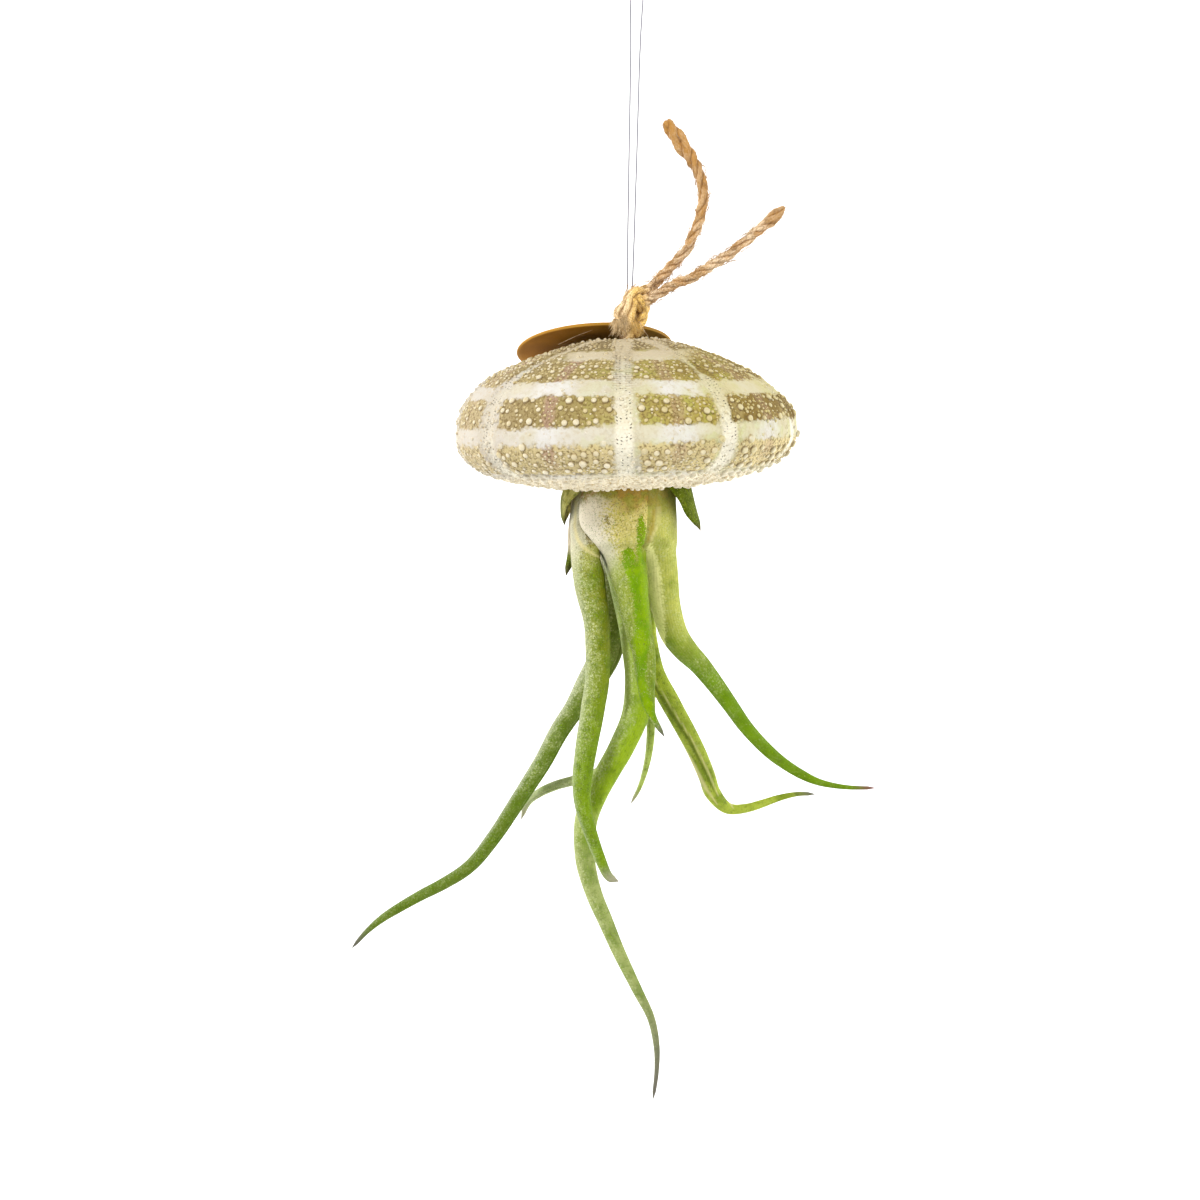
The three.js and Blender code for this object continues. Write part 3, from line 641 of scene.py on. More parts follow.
# radius, how golden it is, and stations of x, y and z
STRANDS = [
    # over the front and down to the hole
    (1.6, 0.8, [(3.2, 0.6, -82.4), (2.2, -1.4, -81.9), (1, -2.9, -83.2), (0.5, -3.4, -85.6),
                 (0.1, -3.1, -88), (0.1, -2.4, -90.4), (0.2, -1.9, -93.2), (0.2, -1.2, -99)]),
    (1.35, 0.6, [(1.1, -0.6, -82.6), (0.2, -1.8, -83.8), (-0.8, -2.6, -85.6),
                  (-1.7, -2.6, -87), (-1.2, -2.1, -90), (-0.6, -1.4, -93)]),
    # round the right, below the tails
    (1.5, 1.0, [(1.4, -3.3, -83), (2.8, -2.9, -84.8), (3.7, -1.6, -86.2), (3.1, -0.8, -88.4),
                (2.2, -1.2, -90.4), (1, -1.4, -93)]),
    # round the left and the back
    (1.45, 0.6, [(-0.4, -3.2, -88.8), (-1.9, -2.4, -88.2), (-2.5, -0.6, -87.4), (-1.7, 1.4, -86.2),
                (0, 2.5, -84.8), (2.4, 2, -84.9), (4, 0.4, -86), (3.2, -1.2, -87.6)]),
    # the heart of the knot
    (2.1, 0.6, [(1.4, 0.8, -83.2), (1.4, 0.4, -85.6), (1.2, 0, -88.4), (0.6, 0.4, -91)]),
    # the roots of the tails
    (1.55, 0.4, [(-0.4, 1.6, -85.4), (0.2, 0.2, -83), (1.6, -0.6, -81.7), (3.2, 0.1, -81.9),
                 (5.2, 0.5, -81)]),
    (1.5, 0.4, [(-1, -1.2, -86), (1, -1.8, -85), (2.8, -2.5, -84.4), (5.1, -2.6, -83.5)]),
    # down through the hole in the tag, and forward under it
    (1.2, 0.5, [(0.2, 1.4, -85.4), (-1.3, 7.3, -88.6), tuple(TAG_HOLE), (-1.2, 5.9, -92),
                (-1.2, 4.1, -92.4), (-0.4, 2.6, -94.4), (0.2, 1.2, -99)]),
    # the stopper inside the shell, too wide for its hole
    (1.6, 0.2, np.c_[coil * np.cos(turns), coil * np.sin(turns), -99.2 - 2.6 * turns / turns[-1]]),
]
knot_skin = Skin()
for i, (radius, gold, stations) in enumerate(STRANDS):
    stations = np.array(stations, dtype=float)
    route = laid_plies(knot_skin, stations, radius, 1.3 * i, gold, lay=KNOT_LAY, step=0.3)
    stray_hairs(jute_hairs, route, radius, count=60, seed=20 + i, reach=0.7, gold=gold)
knot_skin.piece("jute_knot", jute_finish, "twine", "twine_knot")

# %% Frayed skirt and stray hairs
draw = np.random.default_rng(11)
count = 620
east, north, up = np.eye(3)
outward = towards_angle(draw.uniform(0, 2 * np.pi, count), east, north)
t = np.linspace(0, 1, 7)[None, :, None]
spread = draw.uniform(0.3, 2.2, count)[:, None, None]
fall = draw.uniform(1.2, 3.8, count)[:, None, None]
bend = draw.uniform(-1, 1, count)[:, None, None]
skirt = np.array([-0.4, -1, -89]) + outward[:, None] * np.array([2.5, 3.2, 0])
skirt = skirt + draw.uniform(-0.8, 1.4, (count, 1, 1)) * np.array([-0.3, 0, 1])
skirt = skirt + outward[:, None] * spread * t**1.5 - up * fall * t
skirt = skirt + np.cross(outward, up)[:, None] * bend * np.sin(3 * t)
skirt_radius = draw.uniform(0.05, 0.1, count)
thin_pipes(jute_hairs, skirt, skirt_radius, draw.uniform(0.66, 1, (count, 1, 1)), gold=0.9)
for start, middle, end in [
    ((-3.4, -2.6, -88.6), (-3.6, -3.6, -91), (-5, -4.6, -93.2)),
    ((2.6, -2.8, -89.2), (3.6, -3.6, -91), (5, -4.4, -93)),
    ((-17.4, 4.8, -95.4), (-13, 3.2, -93.2), (-9, 2.6, -91.6)),
    ((-1.2, -3.4, -90.4), (-0.8, -4.4, -91.8), (-0.6, -5, -92.8)),
]:
    bow = through(np.array([start, middle, end], dtype=float), np.linspace(0, 2, 20))
    thin_pipes(jute_hairs, bow[None], np.array([0.1]), 1.0)
jute_hairs.piece("jute_hairs", jute_finish, "twine")

# %% [markdown]
# ## The card tag
#
# A disc of brown card with a punched hole. The skin is one closed loop of rows: under the card
# from the hole to the rim, round the rim, and back over the top. Each row is drawn straight
# between a circle round the hole and the circle of the rim. Real card is never quite flat, so it
# bows down towards its edges by a few tenths of a millimetre, and handling has rounded its rim.

# %% Shape of the tag
TAG_RADIUS = 19.8
TAG_THICKNESS = 0.8
TAG_CENTRE = np.array([-8.4, 20.8, -96.5])
TAG_SLOPE, TAG_TURN, TAG_SPIN = np.radians([19, 14, 12])
HOLE_RADIUS, HOLE_FROM_RIM = 2.4, 3.8


def turned(points, axis, angle):
    """The points turned about one of the three axes, by the right hand."""
    matrix = np.array(Matrix.Rotation(angle, 3, axis))
    return points @ matrix.T


def tag_rows():
    """Shares of the way from the hole to the rim, and heights: out below, round, and back."""
    share = np.linspace(0, 1, 24)[:-1] * 0.98
    bow = np.linspace(-np.pi / 2, np.pi / 2, 7)
    reach = 1 - 0.016 * (1 - np.cos(bow))
    rim = TAG_THICKNESS / 2 * (1 + np.sin(bow))
    ways = np.concatenate([share, reach, share[::-1]])
    return ways, np.concatenate([0 * share, rim, 0 * share + TAG_THICKNESS])


ways, heights = tag_rows()
circle = towards_angle(round_angles(120), east, north)
hole_way = np.array([math.sin(TAG_SPIN), -math.cos(TAG_SPIN), 0])
inner = hole_way * (TAG_RADIUS - HOLE_FROM_RIM) + HOLE_RADIUS * circle
outer = TAG_RADIUS * circle
disc = inner + ways[:, None, None] * (outer - inner)
dish = -0.2 * (disc[..., 0] / TAG_RADIUS) ** 2 - 0.25 * (disc[..., 1] / TAG_RADIUS) ** 2
disc[..., 2] = heights[:, None] + dish
disc = turned(turned(disc, "X", -TAG_SLOPE), "Z", TAG_TURN) + TAG_CENTRE

print("the tag spans in mm:", np.ptp(disc.reshape(-1, 3), axis=0).round(1))

# %% Card and the finished tag
card = Finish("brown_card")
fibre, cloud = card.noise(0.5, 6.0), card.noise(7.0, 3.0)
brown = card.coats(
    # painted shade: the underside of the card is darker towards its right end, near the shell, and
    # lighter at its left end, where more light reaches it
    card.mix(card.axis("X").rise(-26, 10), (182, 126, 20), (128, 102, 14)),
    (cloud.rise(0.3, 0.7) * 0.4, (138, 88, 20)),
    (fibre.rise(0.45, 0.75) * 0.25, (186, 132, 58)),
    # painted light: the rim is lighter, as an edge that catches the light from above
    (card.value("rim") * 0.4, (190, 142, 66)),
)
card_finish = card.done(brown, 0.75, fibre, depth=0.05, Specular_IOR_Level=0.15)

tag_skin = Skin()
rim_value = np.clip((ways - 0.93) / 0.05, 0, 1)[None, :, None]
tag_skin.add(disc[None], closed=False, loop=True, rim=rim_value)
tag_skin.piece("brown_card_tag", card_finish, "card", "card_tag")

# %% [markdown]
# ## The shell of the sea urchin
#
# An urchin's shell is made of limy plates in ten columns. Strips of fine pores, which the tube
# feet came through, part the columns. The plates are banded in olive and white, and they are
# covered with round knobs that once carried the spines. The shell itself is an outline turned
# round an axis, with a gentle swell between the pore strips. It keeps three distances for each
# point, in millimetres: how far it lies down the outline, from the nearest pore strip, and from
# the middle of its column.

# %% Outline of the shell
SHELL_CENTRE = np.array([0.2, 0, -118.2])
SHELL_TILT = math.radians(-3.2)
SHELL_WALL = 1.7
SHELL_OUTLINE = np.array([
    (5.5, 24.6), (11, 23.7), (21.4, 20.5), (28.4, 17.6), (34, 14.5), (38.7, 10.2), (41.2, 6.4),
    (42.1, 2.5), (42.1, -0.5), (41, -3), (38.3, -5.8), (34.5, -7.9), (28.4, -9.8), (21.5, -11.1),
    (17.4, -11.9), (15.6, -11.3),
])
PORE_STRIPS = np.radians([-53, -1, 36, 75, 108.6, 142.2, 175.8, 209.4, 243, 276.6])
PORE_STRIPS = np.sort(PORE_STRIPS % (2 * np.pi))
COLUMN_WIDTHS = np.diff(np.concatenate([PORE_STRIPS, [PORE_STRIPS[0] + 2 * np.pi]]))
outline = through(SHELL_OUTLINE, np.linspace(0, len(SHELL_OUTLINE) - 1, 1200))
outline_run = np.concatenate([[0], np.cumsum(np.linalg.norm(np.diff(outline, axis=0), axis=1))])
outline_way = unit(np.gradient(outline, axis=0))
print("from hole to mouth:", round(outline_run[-1], 1), "mm")


# %% Places on the shell
SHOULDER = 1.1


def radius_at(run):
    """The radius of the outline at a distance down it."""
    return np.interp(run, outline_run, outline[:, 0])


def shell_place(run, azimuth, lift):
    """Points of the shell: a distance down the outline, turned to an azimuth, and lifted square
    to the outline. The left shoulder stands a little higher, and the whole shell is tilted."""
    run, azimuth, lift = np.broadcast_arrays(run, azimuth, lift)
    radius, height, way_out, way_up = (
        np.interp(run, outline_run, column) for column in (*outline.T, *outline_way.T)
    )
    radius = radius - way_up * lift
    height = height + way_out * lift
    rise = np.clip(height / SHELL_OUTLINE[0, 1], 0, 1)
    height = height - SHOULDER * np.sin(azimuth) * np.sin(np.pi * rise) ** 2
    points = np.stack([radius * np.sin(azimuth), -radius * np.cos(azimuth), height], -1)
    return turned(points, "Y", SHELL_TILT) + SHELL_CENTRE


def column_distances(run, azimuth):
    """Distances along the surface to the nearest pore strip and to the middle of the column,
    and half the column's width."""
    radius = radius_at(run)
    turn = (azimuth - PORE_STRIPS[0]) % (2 * np.pi)
    starts = PORE_STRIPS - PORE_STRIPS[0]
    column = np.searchsorted(starts, turn, side="right") - 1
    past, width = turn - starts[column], COLUMN_WIDTHS[column]
    return radius * np.minimum(past, width - past), radius * (past - width / 2), radius * width / 2


def band_place(run, azimuth):
    """How far down the bands a point lies. On the left shoulder they hang lower, by an amount
    that grows with the cube of the distance to the left, and is greatest near the top."""
    left = np.clip(-radius_at(run) * np.sin(azimuth) / 32, 0, 1)
    return run - left**3 * np.interp(run, [10, 20, 30, 38, 46], [3, 5, 4, 1.8, 0])


widest = shell_place(outline_run[outline[:, 0].argmax()], np.radians([-90, 90]), 0)
print("the shell spans in mm:", widest[:, 0].round(1))

# %% The shell's own skin
OUTER_ROWS, INNER_ROWS, COLUMNS = 170, 34, 400
PLATE = 3.05
FAR = 9.0
azimuth = -round_angles(COLUMNS)[None]
run = np.linspace(0, outline_run[-1], OUTER_ROWS)[:, None]
strip, middle, _ = column_distances(run, azimuth)
edge = np.clip(np.minimum(run, outline_run[-1] - run) / 2, 0, 1)
# the columns swell from the pore strips, dip along their middles, and show the seams of plates
swell = 0.35 * (1 - np.exp(-((strip / 2.6) ** 2))) - 0.12 * np.exp(-((middle / 0.8) ** 2))
seams = -0.05 * np.exp(-((((run / PLATE) % 1 - 0.5) / 0.09) ** 2)) * (strip > 2)
pits = np.random.default_rng(5).normal(0, 0.035, (OUTER_ROWS, COLUMNS))
outer = shell_place(run, azimuth, (swell + seams + pits) * edge)
inner_run = np.linspace(outline_run[-1], 0, INNER_ROWS)[:, None]
inner = shell_place(inner_run, azimuth, -SHELL_WALL)
flat = np.zeros((INNER_ROWS, COLUMNS))
shell_skin = Skin()
shell_skin.add(
    np.concatenate([outer, inner])[None], closed=False, loop=True,
    arc=np.concatenate([band_place(run, azimuth), inner_run + flat])[None],
    strip=np.concatenate([strip, flat + FAR])[None],
    middle=np.concatenate([np.abs(middle), flat + FAR])[None],
    inside=np.concatenate([0 * strip, flat + 1])[None],
)

# %% [markdown]
# The shell's colours follow those three distances. Olive blocks lie between white bands, a mauve
# patch marks the middle of each block, and the pore strips are cream with two pairs of columns
# of black pin pricks. The edges of the blocks are moved to and fro by noise, because each plate
# took up its colour on its own.


# %% Colour of the shell
def shell_ground(finish):
    """The colour of the shell between its knobs, a noise for finer marks, 1 in the olive blocks,
    and 1 in the gaps between the fine grains of the white, which are painted darker as shade."""
    arc, strip, middle = (finish.value(name) for name in ("arc", "strip", "middle"))
    x = finish.axis("X")
    side = x.rise(-34, 34)
    wander, slow = finish.noise(1.5, 5.0) - 0.5, finish.noise(7.0, 2.0) - 0.5
    speck_noise, lime = finish.noise(0.7, 5.0), finish.noise(4.0, 2.0)
    # On the far left limb the pattern is washed out: the white is painted darker as shade, and the
    # olive is paler, the blocks narrower and the mauve fainter.
    washed_out = (x + slow * 10.0).fall(-35, -25)

    # the olive blocks, and by how many millimetres the white beside the pore strips is narrower
    moved = arc + wander * 3.6 + slow * 2.4
    block = (
        moved.band(20, 30.6, 0.5) + moved.band(35.9, 44, 0.5)
        + moved.band(48.3, 58, 0.8) + moved.band(-9, 13.6, 0.9)
        + moved.band(13.6, 20, 0.5) * (abs(x) + wander * 6.0).rise(12.5, 17.5)
    )
    narrow = (
        abs(x).rise(8, 14) * arc.fall(24, 34) * 1.3 - washed_out * 1.4
        - x.rise(8, 16) * arc.rise(28, 36) * 0.7 + x.rise(12, 20) * arc.fall(26, 32) * 1.1
        + x.rise(23, 26) * arc.band(33, 46, 2.0) * 2.2 + x.rise(34, 37) * 1.1
        - x.band(1, 9, 1.0) * arc.rise(30, 36) * 1.3
    )
    block = block * (strip + wander * 3.6 + slow * 2.0 + narrow).rise(1.6, 3.0)

    # painted shade: the olive darkens towards the right side of the shell, and on its upper right
    shade = (x + slow * 16.0).rise(20, 28) * (0.9 - arc.rise(44, 50) * 0.6)
    upper = (x + slow * 16.0).rise(4, 14) * arc.fall(26, 32) * 0.5
    mauve = (middle + wander * 3.0).fall(0.8, 2.4) * arc.fall(50, 58)
    mauve = mauve * (0.8 - side * 0.45) * arc.rise(14, 20) * (1 - washed_out * 0.7)
    olive = finish.coats(
        finish.mix(side, (150, 131, 86), (164, 148, 62)),
        (lime.rise(0.48, 0.6) * side * 0.6, (168, 168, 74)),
        (shade.most(upper), (122, 96, 26)),
        (arc.fall(11, 15) * 0.85, (122, 104, 70)),
        (arc.rise(44, 50) * (side * 0.14 + 0.66), (218, 200, 150)),
        (slow.rise(0.02, 0.16) * 0.3, (196, 178, 122)),
        (mauve, (168, 134, 116)),
        (washed_out * 0.45, (190, 172, 134)),
        # painted shade: dark specks in the olive stand for the shade in the crevices between the
        # beads
        (speck_noise.fall(0.36, 0.54) * 0.74, (108, 86, 38)),
    )

    bright = (middle + slow * 14.0 + wander * 4.0).fall(0.5, 8.0) * arc.rise(24, 32)
    pore_strip = strip.fall(1.4, 2.8) * arc.rise(26, 38)
    shaded_grain_gaps = finish.cells(0.85).rise(0.36, 0.62) * (1 - strip.rise(2.2, 6.0) * 0.75)
    # painted shade: the white turns darker and yellower towards the right side of the shell, and on
    # its upper right
    right = (x + slow * 12.0).rise(10, 30) * arc.fall(36, 44) * 0.6
    right = right + arc.fall(24, 34) * x.rise(8, 14) * 0.35
    white = finish.coats(
        finish.mix(side, (202, 195, 184), (201, 195, 158)),
        (lime.rise(0.46, 0.58) * (side * 0.55 + 0.1), (192, 194, 134)),
        (slow.rise(-0.05, 0.2) * 0.4, (196, 185, 154)),
        # painted shade: the white bands high on the shell are darker
        ((arc + wander * 5.0).fall(16, 24), (194, 180, 150)),
        (bright * 0.8, (212, 209, 204)),
        (wander.rise(0.0, 0.16) * 0.35, (186, 172, 140)),
        (pore_strip * 0.7, (224, 217, 194)),
        # painted shade: the gaps between the fine grains of the white are darker
        (shaded_grain_gaps * 0.2, (168, 146, 96)),
        (pore_strip * arc.rise(38, 50) * 0.7, (234, 228, 208)),
        (washed_out * 0.65, (184, 174, 157)),
        (right, (190, 178, 122)),
        (speck_noise.rise(0.56, 0.72) * (washed_out * 0.4 + 0.35), (184, 158, 112)),
    )
    under = finish.mix(speck_noise.rise(0.34, 0.54), (200, 178, 130), (238, 228, 204))
    white = finish.mix(moved.rise(58, 63), white, under)
    return finish.mix(block, white, olive), speck_noise, block, shaded_grain_gaps


# %% Wall of the shell
shell = Finish("urchin_shell_wall")
ground, speck_noise, _, shaded_grain_gaps = shell_ground(shell)
arc, strip = shell.value("arc"), shell.value("strip")
jitter = shell.noise(0.9, 2.0) - 0.5
pore_columns = (strip + jitter * 0.4).band(0.5, 0.86, 0.1)
pore_columns = pore_columns + (strip + jitter * 0.5).band(1.42, 1.8, 0.1)
pore_rows = (arc * (2 * math.pi / 0.9) + strip * 3.0 + jitter * 5.0).wave().rise(0.5, 0.85)
pores = pore_columns * pore_rows * shell.noise(1.6, 2.0).rise(0.48, 0.6)
pores = pores * arc.rise(10, 16) * arc.fall(60, 66)
combs = (arc * (2 * math.pi / 0.95)).wave() * strip.band(0.5, 2.6, 0.4)
combs = combs * arc.band(13, 34, 3.0) * abs(shell.axis("X")).fall(5, 9)
grime = shell.coats(
    ground,
    (combs.rise(0.2, 0.9) * 0.45, (158, 134, 90)),
    (pores, (74, 62, 42)),
    (shell.value("inside"), (214, 200, 168)),
)
shell_relief = speck_noise - pores * 2 + combs * 0.8 - shaded_grain_gaps * 0.8
shell_finish = shell.done(grime, 0.85, shell_relief, depth=0.12)
shell_skin.piece("urchin_shell_wall", shell_finish, "shell", "urchin_shell")

# %% [markdown]
# Each knob is a small turned profile: a wide boss and a ball on it. The large knobs stand in
# rows, staggered from row to row, and leave the middles and the pore strips free. Between them
# lie thousands of small beads. All beads of a size are one array: the same rings of points, each
# with its own place, size and axes.


# %% Places and shapes of the knobs
SUNK, SUNK_FROM = 0.6, 40.8


def beads(skin, run, azimuth, size, profile, sides, tint):
    """One bead at each place. Rings of the profile are radius and height in bead sizes; the two
    level directions and the axis come from neighbouring points of the shell. Beads at the very
    front and back are sunk by up to SUNK, to keep inside the solid model's box."""
    place = shell_place(run, azimuth, 0.12)
    axis = unit(shell_place(run, azimuth, 1) - shell_place(run, azimuth, 0))
    place = place - SUNK * np.clip(np.abs(place[:, 1:2]) - SUNK_FROM, 0, 1) * axis
    one = unit(shell_place(run, azimuth - 0.01, 0) - shell_place(run, azimuth, 0))
    one = unit(one - axis * (one * axis).sum(-1, keepdims=True))
    other = np.cross(axis, one)
    level = towards_angle(round_angles(sides), one[:, None], other[:, None])
    radius, height = np.array(profile).T
    ring = radius[:, None, None] * level[:, None] + height[:, None, None] * axis[:, None, None]
    points = place[:, None, None] + size[:, None, None, None] * ring
    top = np.clip(height / height[-1], 0, 1)[None, :, None]
    skin.add(
        points, tint=tint[:, None, None], top=top, arc=band_place(run, azimuth)[:, None, None],
        strip=column_distances(run, azimuth)[0][:, None, None], middle=5.0,
    )


# %% Rows of large knobs
def in_white(run, azimuth, upper, waist, lower):
    """Whether a place lies in a white band. The bands are given from and to, in millimetres down
    the shell, and the uppermost one ends at the shell's sides."""
    down = band_place(run, azimuth)
    aside = np.abs(radius_at(run) * np.sin(azimuth))
    high, mid, low = ((down > start) & (down < end) for start, end in (upper, waist, lower))
    return high & (aside < BAND_END) | mid | low


BAND_END = 15
ROW, GAP, COUNT, ACROSS = 2.62, 3.05, 30, np.arange(-6, 7)
rows = np.arange(1, COUNT + 1)[:, None, None] * ROW + 0.9
shift = ACROSS + 0.5 * (np.arange(COUNT)[:, None, None] % 2)
middles = (PORE_STRIPS + COLUMN_WIDTHS / 2)[None, :, None]
knob_azimuth = (middles + shift * GAP / radius_at(rows)).ravel()
grid = (COUNT, len(PORE_STRIPS), len(ACROSS))
knob_run = np.broadcast_to(rows, grid).ravel().copy()
draw = np.random.default_rng(8)
knob_run += draw.normal(0, 0.28, knob_run.size)
knob_azimuth += draw.normal(0, 0.25, knob_run.size) / np.maximum(8, knob_run * 0.6)
strip, middle, half = column_distances(knob_run, knob_azimuth)
offset = np.abs(np.broadcast_to(shift * GAP, grid).ravel())
# clear of the pore strips, of the columns' middles and of the white bands
keep = (strip > 2.5) & (offset < half - 2.2) & (knob_run < outline_run[-1] - 1)
keep &= (np.abs(middle) > 1.9) | (knob_run > 57)
keep &= ~in_white(knob_run, knob_azimuth, (12.6, 19.4), (31, 35.8), (44.6, 48))
keep &= draw.random(knob_run.size) < np.interp(knob_run, [50, 60], [0.8, 0.97])
knob_run, knob_azimuth = knob_run[keep], knob_azimuth[keep]
# how large the knobs are at distances down the shell
SIZES = np.array([(0, 0.5), (14, 0.72), (24, 1), (40, 1.28), (52, 1.36), (70, 1.36), (79, 1)])
knob_size = np.interp(knob_run, *SIZES.T)
knob_size *= draw.uniform(0.6, 1.08, knob_run.size)
knob_size *= 1 - 0.35 * np.exp(-(((np.degrees(knob_azimuth) - 285) / 18) ** 2))
print("large knobs:", len(knob_run))

# %% Large knobs
knobs = Finish("urchin_shell_knobs")
ground, speck_noise, block, _ = shell_ground(knobs)
tint, top, arc_here = (knobs.value(title) for title in ("tint", "top", "arc"))
right = knobs.axis("X").rise(-10, 36)
pearl = knobs.coats(
    knobs.mix(tint.rise(0.2, 0.9), (212, 200, 168), (190, 171, 116)),
    # partly the shell's yellower tint, partly painted shade: the knobs are darker and yellower
    # towards the right side
    (right * 0.5, (184, 170, 90)),
    (arc_here.fall(8, 20) * 0.6, (166, 148, 108)),
    (arc_here.rise(45, 60) * 0.7, (234, 226, 204)),
    ((1 - block) * 0.6, ground),
)
# painted shade, partly the knob's own darker ring: each knob darkens from its top down to its foot,
# and the foot is darker still in the olive blocks
pearl = knobs.coats(
    knobs.mix(block * 0.6, ground, (112, 86, 40)),
    (top.rise(0.25, 0.9), pearl),
    (speck_noise.rise(0.5, 0.75) * 0.4, (170, 140, 80)),
)
bead_finish = knobs.done(pearl, 0.5, speck_noise, depth=0.05)

knob_skin = Skin()
KNOB = [(1, -0.4), (0.95, 0), (0.76, 0.16), (0.64, 0.28), (0.68, 0.48), (0.5, 0.66), (0.16, 0.74)]
tints = 0.75 * draw.random(len(knob_run))
beads(knob_skin, knob_run, knob_azimuth, knob_size, KNOB, sides=9, tint=tints)
knob_skin.piece("urchin_shell_knobs", bead_finish, "shell")

# %% Small beads
BEAD_ROW, BEAD_GAP, MOST_BEADS = 1.04, 1.2, 230
bead_rows = np.arange(0.8, outline_run[-1] - 0.4, BEAD_ROW)[:, None]
per_row = np.round(2 * np.pi * radius_at(bead_rows) / BEAD_GAP)
column = np.arange(MOST_BEADS)[None]
bead_run = bead_rows + draw.uniform(-0.4, 0.4, (len(bead_rows), MOST_BEADS))
bead_azimuth = (column + draw.uniform(-0.4, 0.4, bead_run.shape)) * 2 * np.pi / per_row
kept = column < per_row
strip = column_distances(bead_run, bead_azimuth)[0]
white = in_white(bead_run, bead_azimuth, (12.6, 19.6), (30.8, 35.8), (44.4, 48.2))
chance = np.where(white, 0.22, 0.95) * np.where(strip < 1.9, 0.25, 1.0)
kept &= draw.random(bead_run.shape) < chance
bead_run, bead_azimuth = bead_run[kept], bead_azimuth[kept]
bead_place = shell_place(bead_run, bead_azimuth, 0)
knob_place = shell_place(knob_run, knob_azimuth, 0)
apart = np.linalg.norm(bead_place[:, None] - knob_place[None], axis=-1) - 0.9 * knob_size[None]
clear_of_knobs = apart.min(axis=1) > 0.28
bead_run, bead_azimuth = bead_run[clear_of_knobs], bead_azimuth[clear_of_knobs]
bead_size = 0.2 + 0.42 * draw.random(bead_run.size) ** 1.7
bead_skin = Skin()
BEAD = [(1, -0.5), (0.95, 0.35), (0.5, 0.9)]
tints = draw.uniform(0.2, 1.2, len(bead_run))
beads(bead_skin, bead_run, bead_azimuth, bead_size, BEAD, sides=5, tint=tints)
bead_skin.piece("urchin_shell_beads", bead_finish, "shell")
print("small beads:", len(bead_run))

# %% [markdown]
# ## The plant
#
# Each leaf is a sheet rolled round its own channel. At the sheath it is a wide open gutter, and
# further out the two margins meet and make a tube. A station gives the middle of the roll, its
# outer radius, the thickness of the sheet and how far round it reaches on each side, in degrees.
# Carrying a frame along the leaf keeps the roll from spinning. The sheet thins to its margins.

# %% Stations of the bracts
# name: azimuth of its back, twist, and stations of x, y, z, radius, thickness, reach
BRACTS = {
    "bract_small": (-108, 0, [
        (0, 0, -115, 7.1, 0.6, 16), (0, 0, -122, 11.8, 0.6, 16), (0, 0, -131, 13.25, 0.8, 15),
        (0, 0, -141, 14, 1, 12), (0, 0, -148, 14.5, 1.3, 8), (0, 0, -153.2, 15.2, 0.7, 2),
    ]),
    "bract_left": (-98, 0, [
        (0.2, 0, -115, 8.8, 0.8, 32), (0.3, 0, -122, 13.8, 0.8, 50), (0.3, 0, -127, 15.1, 0.7, 52),
        (0.2, 0, -131.4, 15.6, 0.7, 50), (0, 0, -133.6, 16, 0.8, 41),
        (-0.2, 0, -136.2, 15.8, 0.8, 27), (0, 0, -139.6, 15.3, 0.7, 2),
    ]),
    "bract_right": (88, 0, [
        (0.2, 0, -115, 8.8, 0.8, 32), (0.3, 0, -122, 13.8, 0.8, 50), (0.6, 0, -127, 15, 0.7, 52),
        (1.4, 0, -131, 15.6, 0.7, 44), (1.5, 0.2, -133.4, 16.2, 0.8, 37),
        (1.5, 0.4, -136.6, 16.9, 0.8, 28), (1.6, 0.6, -141.2, 18, 0.7, 2),
    ]),
}
print("bracts:", list(BRACTS))

